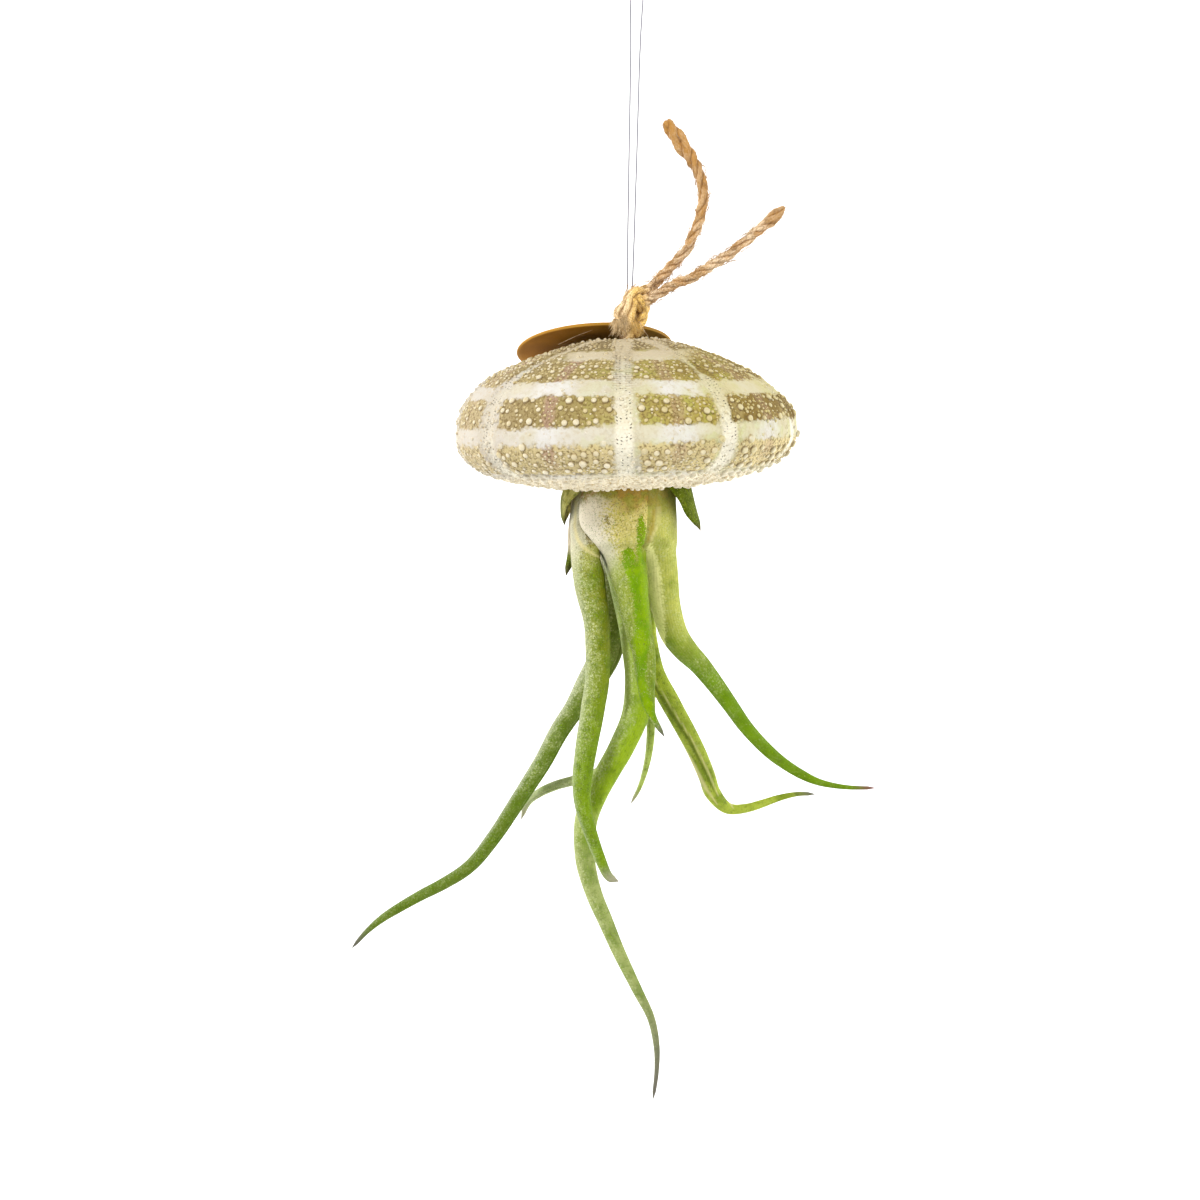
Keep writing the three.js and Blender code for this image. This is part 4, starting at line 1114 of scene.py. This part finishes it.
# %% Stations of the leaves
LEAVES = {
    "leaf_front": (-16, 0, [
        (0, -0.4, -115, 7, 1, 44), (0, -0.4, -122, 11.8, 1, 44), (0, -0.4, -131, 13, 1, 44),
        (0, -0.4, -140, 13.3, 1, 43), (0.4, -3.2, -143.8, 10.3, 1.2, 46),
        (0.6, -6, -147.4, 6.4, 1.3, 66), (2.2, -10.2, -154.5, 4.4, 1.4, 126),
        (4, -12.5, -164, 3.5, 1.3, 158), (5.7, -13.5, -170.6, 2.9, 1.2, 162),
        (6.4, -14.5, -177.4, 2.4, 1.1, 164), (6.9, -15.5, -182.3, 1.7, 0.9, 164),
        (8.2, -16.5, -186.2, 1, 0.8, 164), (11.3, -18, -191.1, 0.42, 0.36, 164),
    ]),
    "leaf_front_left": (-92, 0, [
        (0, 0, -115, 6, 0.9, 38), (0, 0, -122, 10.6, 0.9, 38), (-0.5, 0.2, -131, 11.9, 0.9, 38),
        (-0.9, 0.1, -140, 12.4, 1, 38), (-4, -1.6, -143.8, 9.2, 1.1, 66),
        (-8.2, -4.6, -147.6, 4.9, 1.3, 120), (-7.9, -6.9, -154.5, 4.1, 1.3, 156),
        (-6, -9.5, -164.5, 3.3, 1.2, 162), (-5.6, -11.5, -178, 3.1, 1.2, 164),
        (-6.4, -12.5, -184.6, 3.05, 1.2, 164), (-7.8, -14, -194.2, 2.8, 1.1, 164),
        (-8.7, -15.5, -202, 2.5, 1.1, 164), (-8.4, -16.7, -208.5, 2.1, 1, 164),
        (-6.4, -18.2, -215, 1.7, 0.9, 164), (-3.8, -20, -221.4, 1.4, 0.8, 164),
        (-1.4, -21.5, -225.7, 1.1, 0.7, 164), (0.9, -22, -226.6, 0.7, 0.5, 164),
    ]),
    "leaf_right": (84, 0, [
        (0, 0, -115, 6, 0.9, 66), (0, 0, -122, 10.6, 0.9, 66), (0.6, 0.2, -131, 12.2, 0.9, 67),
        (0.9, 0.1, -140, 12.4, 1, 68), (4.4, 0.2, -143.8, 9.2, 1.15, 82),
        (8, 0.6, -147.6, 5.6, 1.3, 122), (10, 1.2, -155, 4.3, 1.4, 150),
        (11.2, 3, -161, 3.8, 1.3, 156), (13.6, 4, -167.6, 3.5, 1.2, 162),
        (16.8, 5, -171.8, 3.05, 1.1, 164), (20.7, 6, -175.7, 2.6, 1.1, 164),
        (27.9, 8.5, -184.9, 2.05, 1, 164), (32.5, 10, -191.1, 1.8, 0.9, 164),
        (38.5, 11.5, -197.2, 1.6, 0.9, 164), (42.4, 12.5, -200.2, 1.4, 0.9, 164),
        (47.4, 14, -203.2, 1.2, 0.8, 164), (51.7, 15, -205, 0.9, 0.7, 164),
        (58.5, 16.5, -206.2, 0.6, 0.5, 164), (65.9, 18, -206.4, 0.42, 0.36, 164),
    ]),
    "leaf_back_left": (-159, 0, [
        (0, 0, -115, 6, 0.9, 18), (0, 0, -122, 10.6, 0.9, 18), (0, 0.4, -131, 12.2, 0.9, 18),
        (0, 0.8, -140, 12.4, 1, 19), (-1.6, 5.4, -143.8, 8.2, 1.1, 24),
        (-3, 10.2, -148, 4, 1.2, 56), (-1.4, 15.2, -157, 2.7, 1.1, 112),
        (3, 15.4, -170, 2.1, 1, 176), (5.6, 15, -184, 1.7, 0.9, 178),
        (3.1, 18, -196, 1.5, 0.9, 178), (-3.1, 20, -203.4, 1.4, 0.9, 178),
        (-9.9, 22, -206.4, 1.3, 0.9, 178), (-15.6, 24, -208.4, 1.25, 0.8, 178),
        (-19.9, 26, -210.7, 1.15, 0.8, 178), (-22.8, 27.5, -213.5, 0.9, 0.7, 178),
        (-24.4, 29, -218, 0.42, 0.36, 178),
    ]),
    "leaf_back": (162, 0, [
        (0, 0, -115, 6, 0.9, 15), (0, 0, -122, 10.6, 0.9, 15), (0, 0.4, -131, 12.2, 0.9, 15),
        (0, 0.8, -140, 12.4, 1, 16), (1.9, 5.6, -143.8, 8.1, 1.1, 20),
        (3.4, 10.6, -148, 3.6, 1.1, 48), (5.8, 15.6, -157, 2.3, 1.1, 110),
        (7.6, 18, -170, 1.7, 1, 174), (8, 19, -182.6, 1.3, 0.9, 178),
        (8.3, 21, -195.7, 1.05, 0.8, 178), (7.6, 23, -202.1, 0.85, 0.7, 178),
        (5.9, 25, -208.5, 0.6, 0.5, 178), (3.8, 26.5, -212.9, 0.42, 0.36, 178),
    ]),
    "leaf_long": (0, 0, [
        (0, 0, -115, 4.8, 0.6, 74), (0, 0, -122, 9, 1, 74), (0, 0, -131, 10.6, 1.2, 74),
        (0, 0, -140, 10.3, 1.3, 74), (0.2, -0.4, -143.8, 8.8, 1.35, 78),
        (0.6, -1, -149, 6, 1.4, 92), (1.8, -1, -158.5, 4, 1.5, 156),
        (4.6, -3, -172.6, 3.95, 1.4, 162), (5, -4, -180.9, 3.75, 1.4, 163),
        (3.7, -4.5, -188.4, 3.4, 1.3, 164), (0.7, -5, -195.4, 3.2, 1.3, 164),
        (-2.2, -5.5, -200.9, 3.05, 1.2, 164), (-5.4, -6, -207, 3, 1.2, 164),
        (-7.6, -6.5, -214, 2.85, 1.2, 164), (-7.5, -7, -223.4, 2.5, 1.1, 164),
        (-5.5, -7, -230.9, 2.15, 1.1, 164), (-2.1, -7.5, -238.6, 1.9, 1, 164),
        (2, -8, -247.4, 1.6, 0.9, 164), (6.4, -8, -255.9, 1.3, 0.9, 164),
        (9.9, -8, -262.8, 1, 0.8, 164), (11.4, -8, -269.5, 0.8, 0.6, 164),
        (11.6, -8, -276, 0.6, 0.5, 164), (10.9, -8, -283, 0.42, 0.36, 164),
    ]),
    "leaf_left_long": (-130, 0, [
        (0, 0, -115, 4.8, 0.6, 50), (0, 0, -122, 9, 1, 50), (0, 0, -131, 10.6, 1.2, 50),
        (0, 0.4, -140, 10.2, 1.3, 50), (-0.9, 3, -143.8, 7.2, 1.35, 62),
        (-1.8, 5.6, -147.6, 4.8, 1.4, 92), (-2.2, 8, -158, 3.6, 1.4, 172),
        (-3.5, 8.8, -172.5, 4, 1.3, 178), (-7.6, 11, -181, 3.5, 1.2, 178),
        (-10.9, 12.5, -186.9, 2.75, 1.1, 178), (-14.7, 14, -193, 2.5, 1.1, 178),
        (-19.3, 16, -202.1, 2.3, 1.1, 178), (-23.1, 18, -208.6, 2.15, 1, 178),
        (-30.9, 21.5, -221.5, 1.9, 1, 178), (-35.6, 23, -228, 1.75, 1, 178),
        (-39.1, 24, -231.4, 1.65, 1, 178), (-44.1, 25.5, -234.8, 1.55, 0.9, 178),
        (-50, 27.5, -238.3, 1.4, 0.9, 178), (-55.6, 29.5, -241.9, 1.25, 0.8, 178),
        (-60.3, 31, -245.3, 1, 0.7, 178), (-64, 32.5, -248.8, 0.7, 0.5, 178),
        (-67.7, 34, -253.3, 0.42, 0.36, 178),
    ]),
    "leaf_right_channelled": (122, 100, [
        (0, 0, -115, 4.8, 0.6, 42), (0, 0, -122, 9, 1, 42), (0, 0, -131, 10.6, 1.2, 42),
        (0, 0.4, -140, 10.2, 1.3, 42), (1.6, 3.6, -143.8, 7, 1.3, 52),
        (3, 7.4, -147.6, 4.4, 1.3, 70), (5.2, 9.4, -155, 3.4, 1.2, 110),
        (5.6, 10.2, -162.5, 2.8, 1.2, 140), (8.4, 12.5, -177, 2.75, 1.2, 150),
        (13.1, 14.5, -185.8, 2.7, 1.1, 152), (16.7, 16, -192, 2.55, 1.1, 154),
        (20.2, 18, -198.4, 2.4, 1.1, 156), (23, 20, -204.7, 2.25, 1, 158),
        (24.7, 21.2, -209.1, 2.1, 1, 160), (29, 23.5, -213.3, 1.5, 0.9, 162),
        (33.4, 25, -213.2, 1.2, 0.9, 162), (37.8, 26.5, -212, 1.05, 0.8, 162),
        (42.2, 28, -210.6, 0.85, 0.7, 162), (46.9, 29.5, -209.7, 0.6, 0.5, 162),
        (51.4, 31, -209.8, 0.42, 0.36, 162),
    ]),
}
for node, (_, _, stations) in LEAVES.items():
    print(node, "is", round(length_of(np.array(stations)[:, :3])), "mm long")


# %% Sheets from stations
def leaf_sheet(azimuth, twist, stations, step=0.7, half=26):
    """A rolled sheet. At each station a section is set up: level at the sheath, and eased into one
    square to the leaf. Curves through the stations carry the spine, both directions and the
    sizes. A point lies at the spine, plus the back times distance times cosine less radius, plus
    the side times distance times sine, for the outer face and for the inner one. Each face has
    half points across, and rows are one step apart."""
    stations = np.array(stations)
    count = np.arange(len(stations))
    freed = np.clip((count - 4) / 2, 0, 1)[:, None]
    down = np.array([0, 0, -1.0])
    ahead = through(stations, count + 0.01) - through(stations, count - 0.01)
    way = unit(down + freed * (unit(ahead[:, :3]) - down))
    turn = math.radians(azimuth)
    back = carried(way, (math.sin(turn), -math.cos(turn), 0))
    twisted = np.radians(twist) * freed * (count[:, None] / count[-1]) ** 2
    back = back * np.cos(twisted) + np.cross(way, back) * np.sin(twisted)
    spine = stations[:, :3] + back * stations[:, 3:4]
    way = unit(down + freed * (unit(np.gradient(spine, axis=0)) - down))
    back = unit(back - way * (back * way).sum(-1, keepdims=True))
    table = np.hstack([spine, back, np.cross(way, back), stations[:, 3:]])
    rows = through(table, even_places(table, step))
    spine, back, side = rows[:, :3], unit(rows[:, 3:6]), unit(rows[:, 6:9])
    radius, thickness, reach = rows[:, 9:10], rows[:, 10:11], np.radians(rows[:, 11:12])
    share = np.linspace(-1, 1, half)
    across = np.concatenate([share, share[::-1]])[None]
    inward = np.concatenate([np.zeros(half), np.ones(half)])[None]
    thinned = (1 - inward) * 0.7 * np.abs(across) ** 6 * (reach < 1.7)
    wavy = 1 + 0.008 * np.sin(0.55 * np.arange(len(rows))[:, None] * step + 2.3 * across)
    distance = radius * wavy - thickness * np.maximum(inward, thinned)
    angle = np.maximum(reach, 0.03) * across
    out = towards_angle(angle, back[:, None], side[:, None])
    points = (spine - back * radius)[:, None] + distance[..., None] * out
    run = np.linspace(0, 1, len(rows))[:, None]
    middle = points.mean(axis=1, keepdims=True)
    left_over = (len(rows) - 1 - np.arange(len(rows))) * step
    points = middle + (points - middle) * np.clip(left_over / 2, 0.08, 1)[:, None, None] ** 0.6
    return points, out, across, run


# %% Streaks down a leaf
def streak(points, out, marks):
    """How far each point lies in a streak on the front of the leaf: marks are height, middle and
    half width in x, and between two marks the streak is straight."""
    z, x, half = np.array(sorted(marks)).T
    middle, width = np.interp(points[..., 2], z, x), np.interp(points[..., 2], z, half)
    soft = 0.25 + 0.6 * width
    inside = np.clip((width - np.abs(points[..., 0] - middle)) / soft + 0.5, 0, 1)
    within = (points[..., 2] > z[0]) & (points[..., 2] < z[-1]) & (out[..., 1] < -0.1)
    return inside * within


# %% [markdown]
# Air plants drink through silvery scales that cover their leaves. Where the scales are dense, a
# leaf is grey or almost white, and where they have been rubbed off, it is a clear green. So the
# finish is a green ground under a layer of flakes, whose cover is worked out from several wide
# noises. The sheaths have hardly any green at all, and they are stained where water stood.


# %% Finish of the leaves
def leaf_finish(
    name, high, low, frost, tip, fade=(-205, -158), grey_left=0.0, cream=0.8, bare=-400.0,
    spotted=1.0, rim=0.45, tip_from=0.94,
):
    """A leaf's material: high and low are its greens above and below the heights fade, frost is how
    dense the scales are, and grey_left is how much denser they are on the left. Below the height
    bare they are thin. Cream is how far the sheath has lost its green, spotted how strong the dark
    spots are, and rim how much lighter and greyer the left side is painted, as the side that the
    light falls on. The dry tip begins at the share tip_from of the leaf's length."""
    leaf = Finish(name)
    z = leaf.axis("Z")
    across, run, left = (leaf.value(title) for title in ("across", "run", "left"))
    cloud, grain, dust = leaf.noise(5.0, 3.0), leaf.noise(0.55, 5.0), leaf.noise(0.3, 4.0)
    puffs, grit, motes = cloud - 0.5, grain - 0.5, dust - 0.5
    vein = (across * 95.0 + cloud * 5.0).wave()
    worn = (leaf.value("rubbed") + motes * 3.8 + puffs * 0.8).rise(0.45, 0.7)
    whole = 1 - worn
    green = leaf.coats(
        leaf.mix((z + puffs * 16.0).rise(*fade), low, high),
        (cloud.rise(0.4, 0.66) * 0.5, (76, 104, 8)),
        (vein.rise(-1, 1) * 0.12, (58, 84, 14)),
        (worn, leaf.mix(cloud.rise(0.4, 0.6), (98, 136, 0), (122, 154, 0))),
    )

    # the layer of scales, and single large ones
    cover = leaf.noise(3.2, 3.0) * 0.6 + leaf.noise(0.6, 4.0) * 0.4
    cover = (cover + left * grey_left + (frost - 0.5)).rise(0.34, 0.72)
    cover = cover * (0.3 + (z + puffs * 20.0).rise(bare - 9, bare + 9) * 0.7)
    cover = cover * (1 - worn * 0.95) * (1 - leaf.cells(0.5).rise(0.2, 0.6) * 0.6)
    silver = leaf.coats(
        leaf.mix(grain.rise(0.35, 0.65), (146, 160, 76), (204, 210, 150)),
        # painted light: the scales are lighter on the left side, where the light falls
        ((left + grit * 1.2).rise(0.25, 0.8) * rim, (220, 220, 204)),
    )
    scales = leaf.noise(0.34, 2.0).rise(0.56, 0.64) * whole * (0.04 + cover * 0.6) * spotted

    # the sheath, its stained mouth, and dark marks
    sheath = (z + puffs * 9.0 + left * 3.0).rise(-153, -140)
    pale = leaf.coats(
        leaf.mix(grain.rise(0.3, 0.7), (206, 192, 100), (234, 222, 152)),
        # painted light: the sheath is whiter on its left side, where the light falls
        ((left + grit * 0.8).rise(0.1, 0.55) * 0.9, (246, 237, 220)),
    )
    mouth = leaf.coats(
        leaf.mix(leaf.noise(2.2, 3.0).rise(0.42, 0.58), (166, 130, 52), (146, 140, 44)),
        (grain.rise(0.56, 0.68) * 0.6, (104, 76, 28)),
    )
    ochre = (z + puffs * 10.0 + grit * 7.0 - left).rise(-137, -132)
    bruise = (leaf.value("bruise") * 0.3 + dust * 0.7).rise(0.54, 0.64) * 0.75
    speck = (leaf.noise(0.42, 4.0) + sheath * 0.04).rise(0.59, 0.67) * 0.6 * spotted
    # fewer dark specks on the left side, which is painted lighter
    speck = speck * (1 - left.rise(0.3, 0.7) * 0.6)

    # scales, dark spots, painted light greying the left side, single pale scales, the sheath, and
    # the marks, some of them painted light and shade
    skin = leaf.coats(
        green,
        (cover * 0.7, silver),
        (leaf.noise(1.1, 4.0).rise(0.54, 0.63) * whole * 0.35 * spotted, (72, 96, 10)),
        ((left + motes * 1.6).rise(0.6, 1.0) * rim, (184, 182, 168)),
        (scales, (206, 212, 158)),
        (sheath * cream * whole, pale),
        (ochre * (0.35 + cream * 0.62), mouth),
        (leaf.value("stain") * 0.6, (176, 146, 56)),
        (bruise.most(speck), leaf.mix(sheath, (84, 90, 30), (116, 100, 36))),
        # painted shade: dark streaks where leaf_long lies in shade and along the channel of the
        # channelled leaf
        (leaf.value("shade_streak") * 0.8, (84, 96, 24)),
        (leaf.value("margin") * 0.65, (224, 213, 152)),
        # painted light: a pale streak down the side of leaf_right that lies in the shade of
        # leaf_front
        ((leaf.value("washed_out") + grit * 1.6).rise(0.1, 1.1) * 0.95, (246, 244, 166)),
        (run.rise(tip_from, 1.0) * 0.9, tip),
    )
    relief = grain * 0.6 + cover * 0.5 + vein * 0.12
    return leaf.done(skin, 0.5 + cover * 0.3, relief, Specular_IOR_Level=0.04)


# %% Looks of the leaves
GREY_TIP, PALE_TIP, RED_TIP = (104, 98, 94), (160, 154, 132), (136, 84, 86)
LEAF_LOOKS = {
    "leaf_front": dict(
        high=(124, 138, 26), low=(88, 122, 8), frost=0.54, tip=GREY_TIP, grey_left=0.12,
        cream=0.92, rim=0.0,
    ),
    "leaf_front_left": dict(
        high=(116, 120, 22), low=(112, 140, 10), frost=0.54, tip=PALE_TIP, grey_left=0.3,
        spotted=1.4, cream=0.5, bare=-196, rim=0.3,
    ),
    "leaf_right": dict(
        high=(184, 186, 86), low=(104, 136, 12), frost=0.46, tip=RED_TIP, cream=0.2, bare=-184,
        fade=(-178, -162), rim=0.2, spotted=0.5,
    ),
    "leaf_back_left": dict(high=(148, 162, 94), low=(170, 178, 132), frost=0.5, tip=PALE_TIP),
    "leaf_back": dict(high=(156, 178, 66), low=(170, 188, 92), frost=0.42, tip=PALE_TIP),
    "leaf_long": dict(
        high=(140, 166, 30), low=(150, 160, 94), frost=0.44, tip=GREY_TIP, grey_left=0.45,
        fade=(-224, -206), spotted=0.8, rim=0.1, tip_from=0.8,
    ),
    "leaf_left_long": dict(
        high=(102, 108, 48), low=(90, 112, 24), frost=0.51, tip=GREY_TIP, grey_left=0.2,
        bare=-206,
    ),
    "leaf_right_channelled": dict(
        high=(174, 190, 44), low=(170, 184, 66), frost=0.36, tip=GREY_TIP
    ),
}
print("how dense the scales are:", [look["frost"] for look in LEAF_LOOKS.values()])

# %% Streaks on the leaves
# on the front of a leaf: height, middle in x, half width
STREAKS = {
    ("leaf_front", "rubbed"): [
        [
            (-136.4, 4.1, 0.1), (-139, 4.3, 1), (-141.2, 4.4, 1.3), (-144.9, 4.6, 1.3),
            (-148, 4.6, 0.9), (-151.5, 4.5, 1.3), (-154.1, 4.4, 2.1), (-159, 4.7, 2),
            (-163.8, 5.2, 1.9), (-168.1, 5.1, 2.1), (-172.5, 5.1, 1.5), (-177.1, 5.1, 1.1),
            (-180.5, 5.9, 1.4), (-183.8, 6.9, 1.8), (-187.5, 9, 0.4),
        ],
        [
            (-144.8, 1.2, 0.2), (-146, 1.3, 1.6), (-149.5, 1.7, 1.7), (-152.5, 2.6, 1.3),
            (-156, 3.4, 0.9),
        ],
    ],
    ("leaf_front", "bruise"): [[(-136.8, -4.3, 0.4), (-138.2, -4.1, 0.9), (-139.6, -3.7, 0.3)]],
    ("leaf_front_left", "bruise"): [[(-141.6, -9.2, 0.4), (-143.4, -8.7, 0.8), (-145.4, -8, 0.3)]],
    ("leaf_front_left", "margin"): [[
        (-134, -12, 0.3), (-140.5, -12.2, 0.35), (-143.4, -11.4, 0.5), (-145.6, -9.6, 0.8),
        (-147.2, -7, 0.6), (-148.2, -4.6, 0.4),
    ]],
    # painted shade down leaf_long
    ("leaf_long", "shade_streak"): [[
        (-160, 0.2, 0.1), (-166, 0.8, 0.6), (-172, 1.3, 0.8), (-178, 1.9, 0.8), (-184, 2.2, 0.5),
        (-188, 1.2, 0.1),
    ]],
    ("leaf_right", "stain"): [[(-135.6, 7.4, 0.5), (-140, 7, 0.7), (-144, 6, 0.3)]],
    ("leaf_right", "margin"): [[(-134.7, 8.4, 0.3), (-139.2, 8.4, 0.3), (-144.5, 6.2, 0.3)]],
    # painted light on the shaded side of leaf_right
    ("leaf_right", "washed_out"): [[
        (-144, 6.6, 0.3), (-150, 7.2, 2.2), (-158, 7.8, 2.6), (-165, 9.2, 2), (-171, 11, 0.3),
    ]],
    ("leaf_right_channelled", "margin"): [
        [
            (-176, 7.2, 0.1), (-180.1, 9.3, 0.1), (-188.6, 14.7, 0.15), (-195.1, 19.1, 0.2),
            (-202.9, 23.1, 0.25), (-209.5, 26, 0.1),
        ],
        [(-198, 22.8, 0.1), (-204, 25.4, 0.4), (-209, 28, 0.7), (-213, 30, 0.1)],
        [(-192, 13.6, 0.1), (-200, 18.6, 0.5), (-208, 23, 0.5), (-212, 26, 0.1)],
    ],
    # painted shade along the unmodelled channel
    ("leaf_right_channelled", "shade_streak"): [[
        (-172, 4.4, 0.3), (-180.1, 8.3, 0.5), (-188.6, 13.7, 0.6), (-195.1, 18.2, 0.5),
        (-202.9, 22.3, 0.3), (-210, 25.8, 0.1),
    ]],
}
print("streaks:", sum(len(streaks) for streaks in STREAKS.values()))

# %% Make the leaves
FINE_LEAVES = ("leaf_front", "leaf_front_left", "leaf_right", "leaf_long", "leaf_right_channelled")


def add_leaf(node, shape, finish):
    """The fine sheet for a node, with the values that its finish reads."""
    fine = dict(step=0.4, half=36) if node in FINE_LEAVES else {}
    points, out, across, run = leaf_sheet(*shape, **fine)
    values = {
        title: sum(streak(points, out, marks) for marks in STREAKS.get((node, title), [])) + 0.0
        for title in ("rubbed", "bruise", "stain", "margin", "washed_out", "shade_streak")
    }
    skin = Skin()
    skin.add(points[None], across=across[None], run=run[None], left=-out[None, ..., 0], **values)
    skin.piece(node.replace("leaf", "rolled_leaf"), finish, "leaf", node)


for node, shape in LEAVES.items():
    add_leaf(node, shape, leaf_finish(node.replace("leaf", "leaf_skin"), **LEAF_LOOKS[node]))

# %% [markdown]
# The outer bracts are short flat scale leaves round the mouth of the shell. They are darker and
# drier than the leaves, with coarse silver flakes that have gone grey and dark specks between.

# %% Bracts
BRACT_GREENS = {
    "bract_small": ((84, 98, 26), (116, 124, 52)),
    "bract_left": ((146, 140, 66), (180, 174, 102)),
    "bract_right": ((72, 88, 0), (98, 112, 6)),
}
for node, shape in BRACTS.items():
    look = Finish(node.replace("bract", "bract_skin"))
    cloud, grain = look.noise(3.0, 3.0), look.noise(0.5, 5.0)
    vein = (look.value("across") * 40.0 + cloud * 6.0).wave()
    flakes = grain.rise(0.46, 0.66) * look.cells(0.42).fall(0.3, 0.6)
    dull = look.coats(
        look.mix(cloud.rise(0.35, 0.65), *BRACT_GREENS[node]),
        (vein.rise(-1, 1) * 0.2, (62, 78, 20)),
        (look.noise(1.6, 4.0).rise(0.5, 0.6) * 0.5, (66, 74, 22)),
        (flakes * 0.55, (174, 182, 92)),
        (look.noise(0.5, 4.0).rise(0.6, 0.68) * 0.7, (56, 58, 22)),
        (look.value("run").rise(0.9, 1.0), (84, 78, 50)),
    )
    if node == "bract_left":
        edge_way = (look.axis("X") + (cloud - 0.5) * 2.0).rise(-16.6, -14.6)
        edge = look.mix(flakes * 0.4, (78, 94, 44), (150, 158, 110))
        dull = look.mix(edge_way, edge, dull)
    if node == "bract_small":
        pale = look.mix(grain, (206, 192, 156), (232, 222, 204))
        dull = look.mix((look.axis("Z") + cloud * 3.0).rise(-146.5, -143.5), dull, pale)
    bract_look = look.done(dull, 0.75, grain + vein * 0.2, depth=0.12, Specular_IOR_Level=0.04)
    points, _, across, run = leaf_sheet(*shape, step=0.35, half=20)
    skin = Skin()
    skin.add(points[None], across=across[None], run=run[None])
    skin.piece(node.replace("bract", "dry_bract"), bract_look, "bract", node)

# %% [markdown]
# ## The stem
#
# A short woody stump inside the bulb that the leaves grow from. Only its end shows, through the
# mouth. It is a turned outline whose radius is roughened by rings, the scars of old leaves, and
# by ridges along it.

# %% Stem
STEM_OUTLINE = np.array([
    (0.4, -106.5), (2.6, -106.9), (3.6, -108.1), (3.2, -109.1), (4.1, -110.3), (3.5, -111.3),
    (4.2, -112.7), (3.7, -113.9), (3.85, -115.5), (4.4, -118.5), (3, -122.5), (0.4, -123.5),
])
stem_line = through(STEM_OUTLINE, even_places(STEM_OUTLINE, 0.2))
stem_angle = round_angles(72)
ridges = 0.97 + 0.025 * np.sin(11 * stem_angle + 0.7 * np.sin(stem_line[:, 1:] * 1.3))
stem_points = (stem_line[:, :1] * ridges)[..., None] * towards_angle(stem_angle, east, -north)
stem_points = stem_points + stem_line[:, 1:, None] * up

wood = Finish("old_stem")
scar, chip = wood.noise(2.2, 4.0), wood.noise(0.4, 5.0)
rings = (wood.axis("Z") * 4.2 + scar * 4.0).wave()
bark = wood.coats(
    wood.mix(scar.rise(0.35, 0.65), (96, 78, 44), (152, 128, 78)),
    (rings.rise(0.1, 0.9) * 0.5, (64, 48, 28)),
    (chip.rise(0.6, 0.75) * 0.6, (196, 176, 124)),
)
stem_finish = wood.done(bark, 0.88, chip + rings * 0.4, depth=0.15)
stem_skin = Skin()
stem_skin.add(stem_points[None])
stem_skin.piece("old_stem", stem_finish, "stem", "plant_stem")
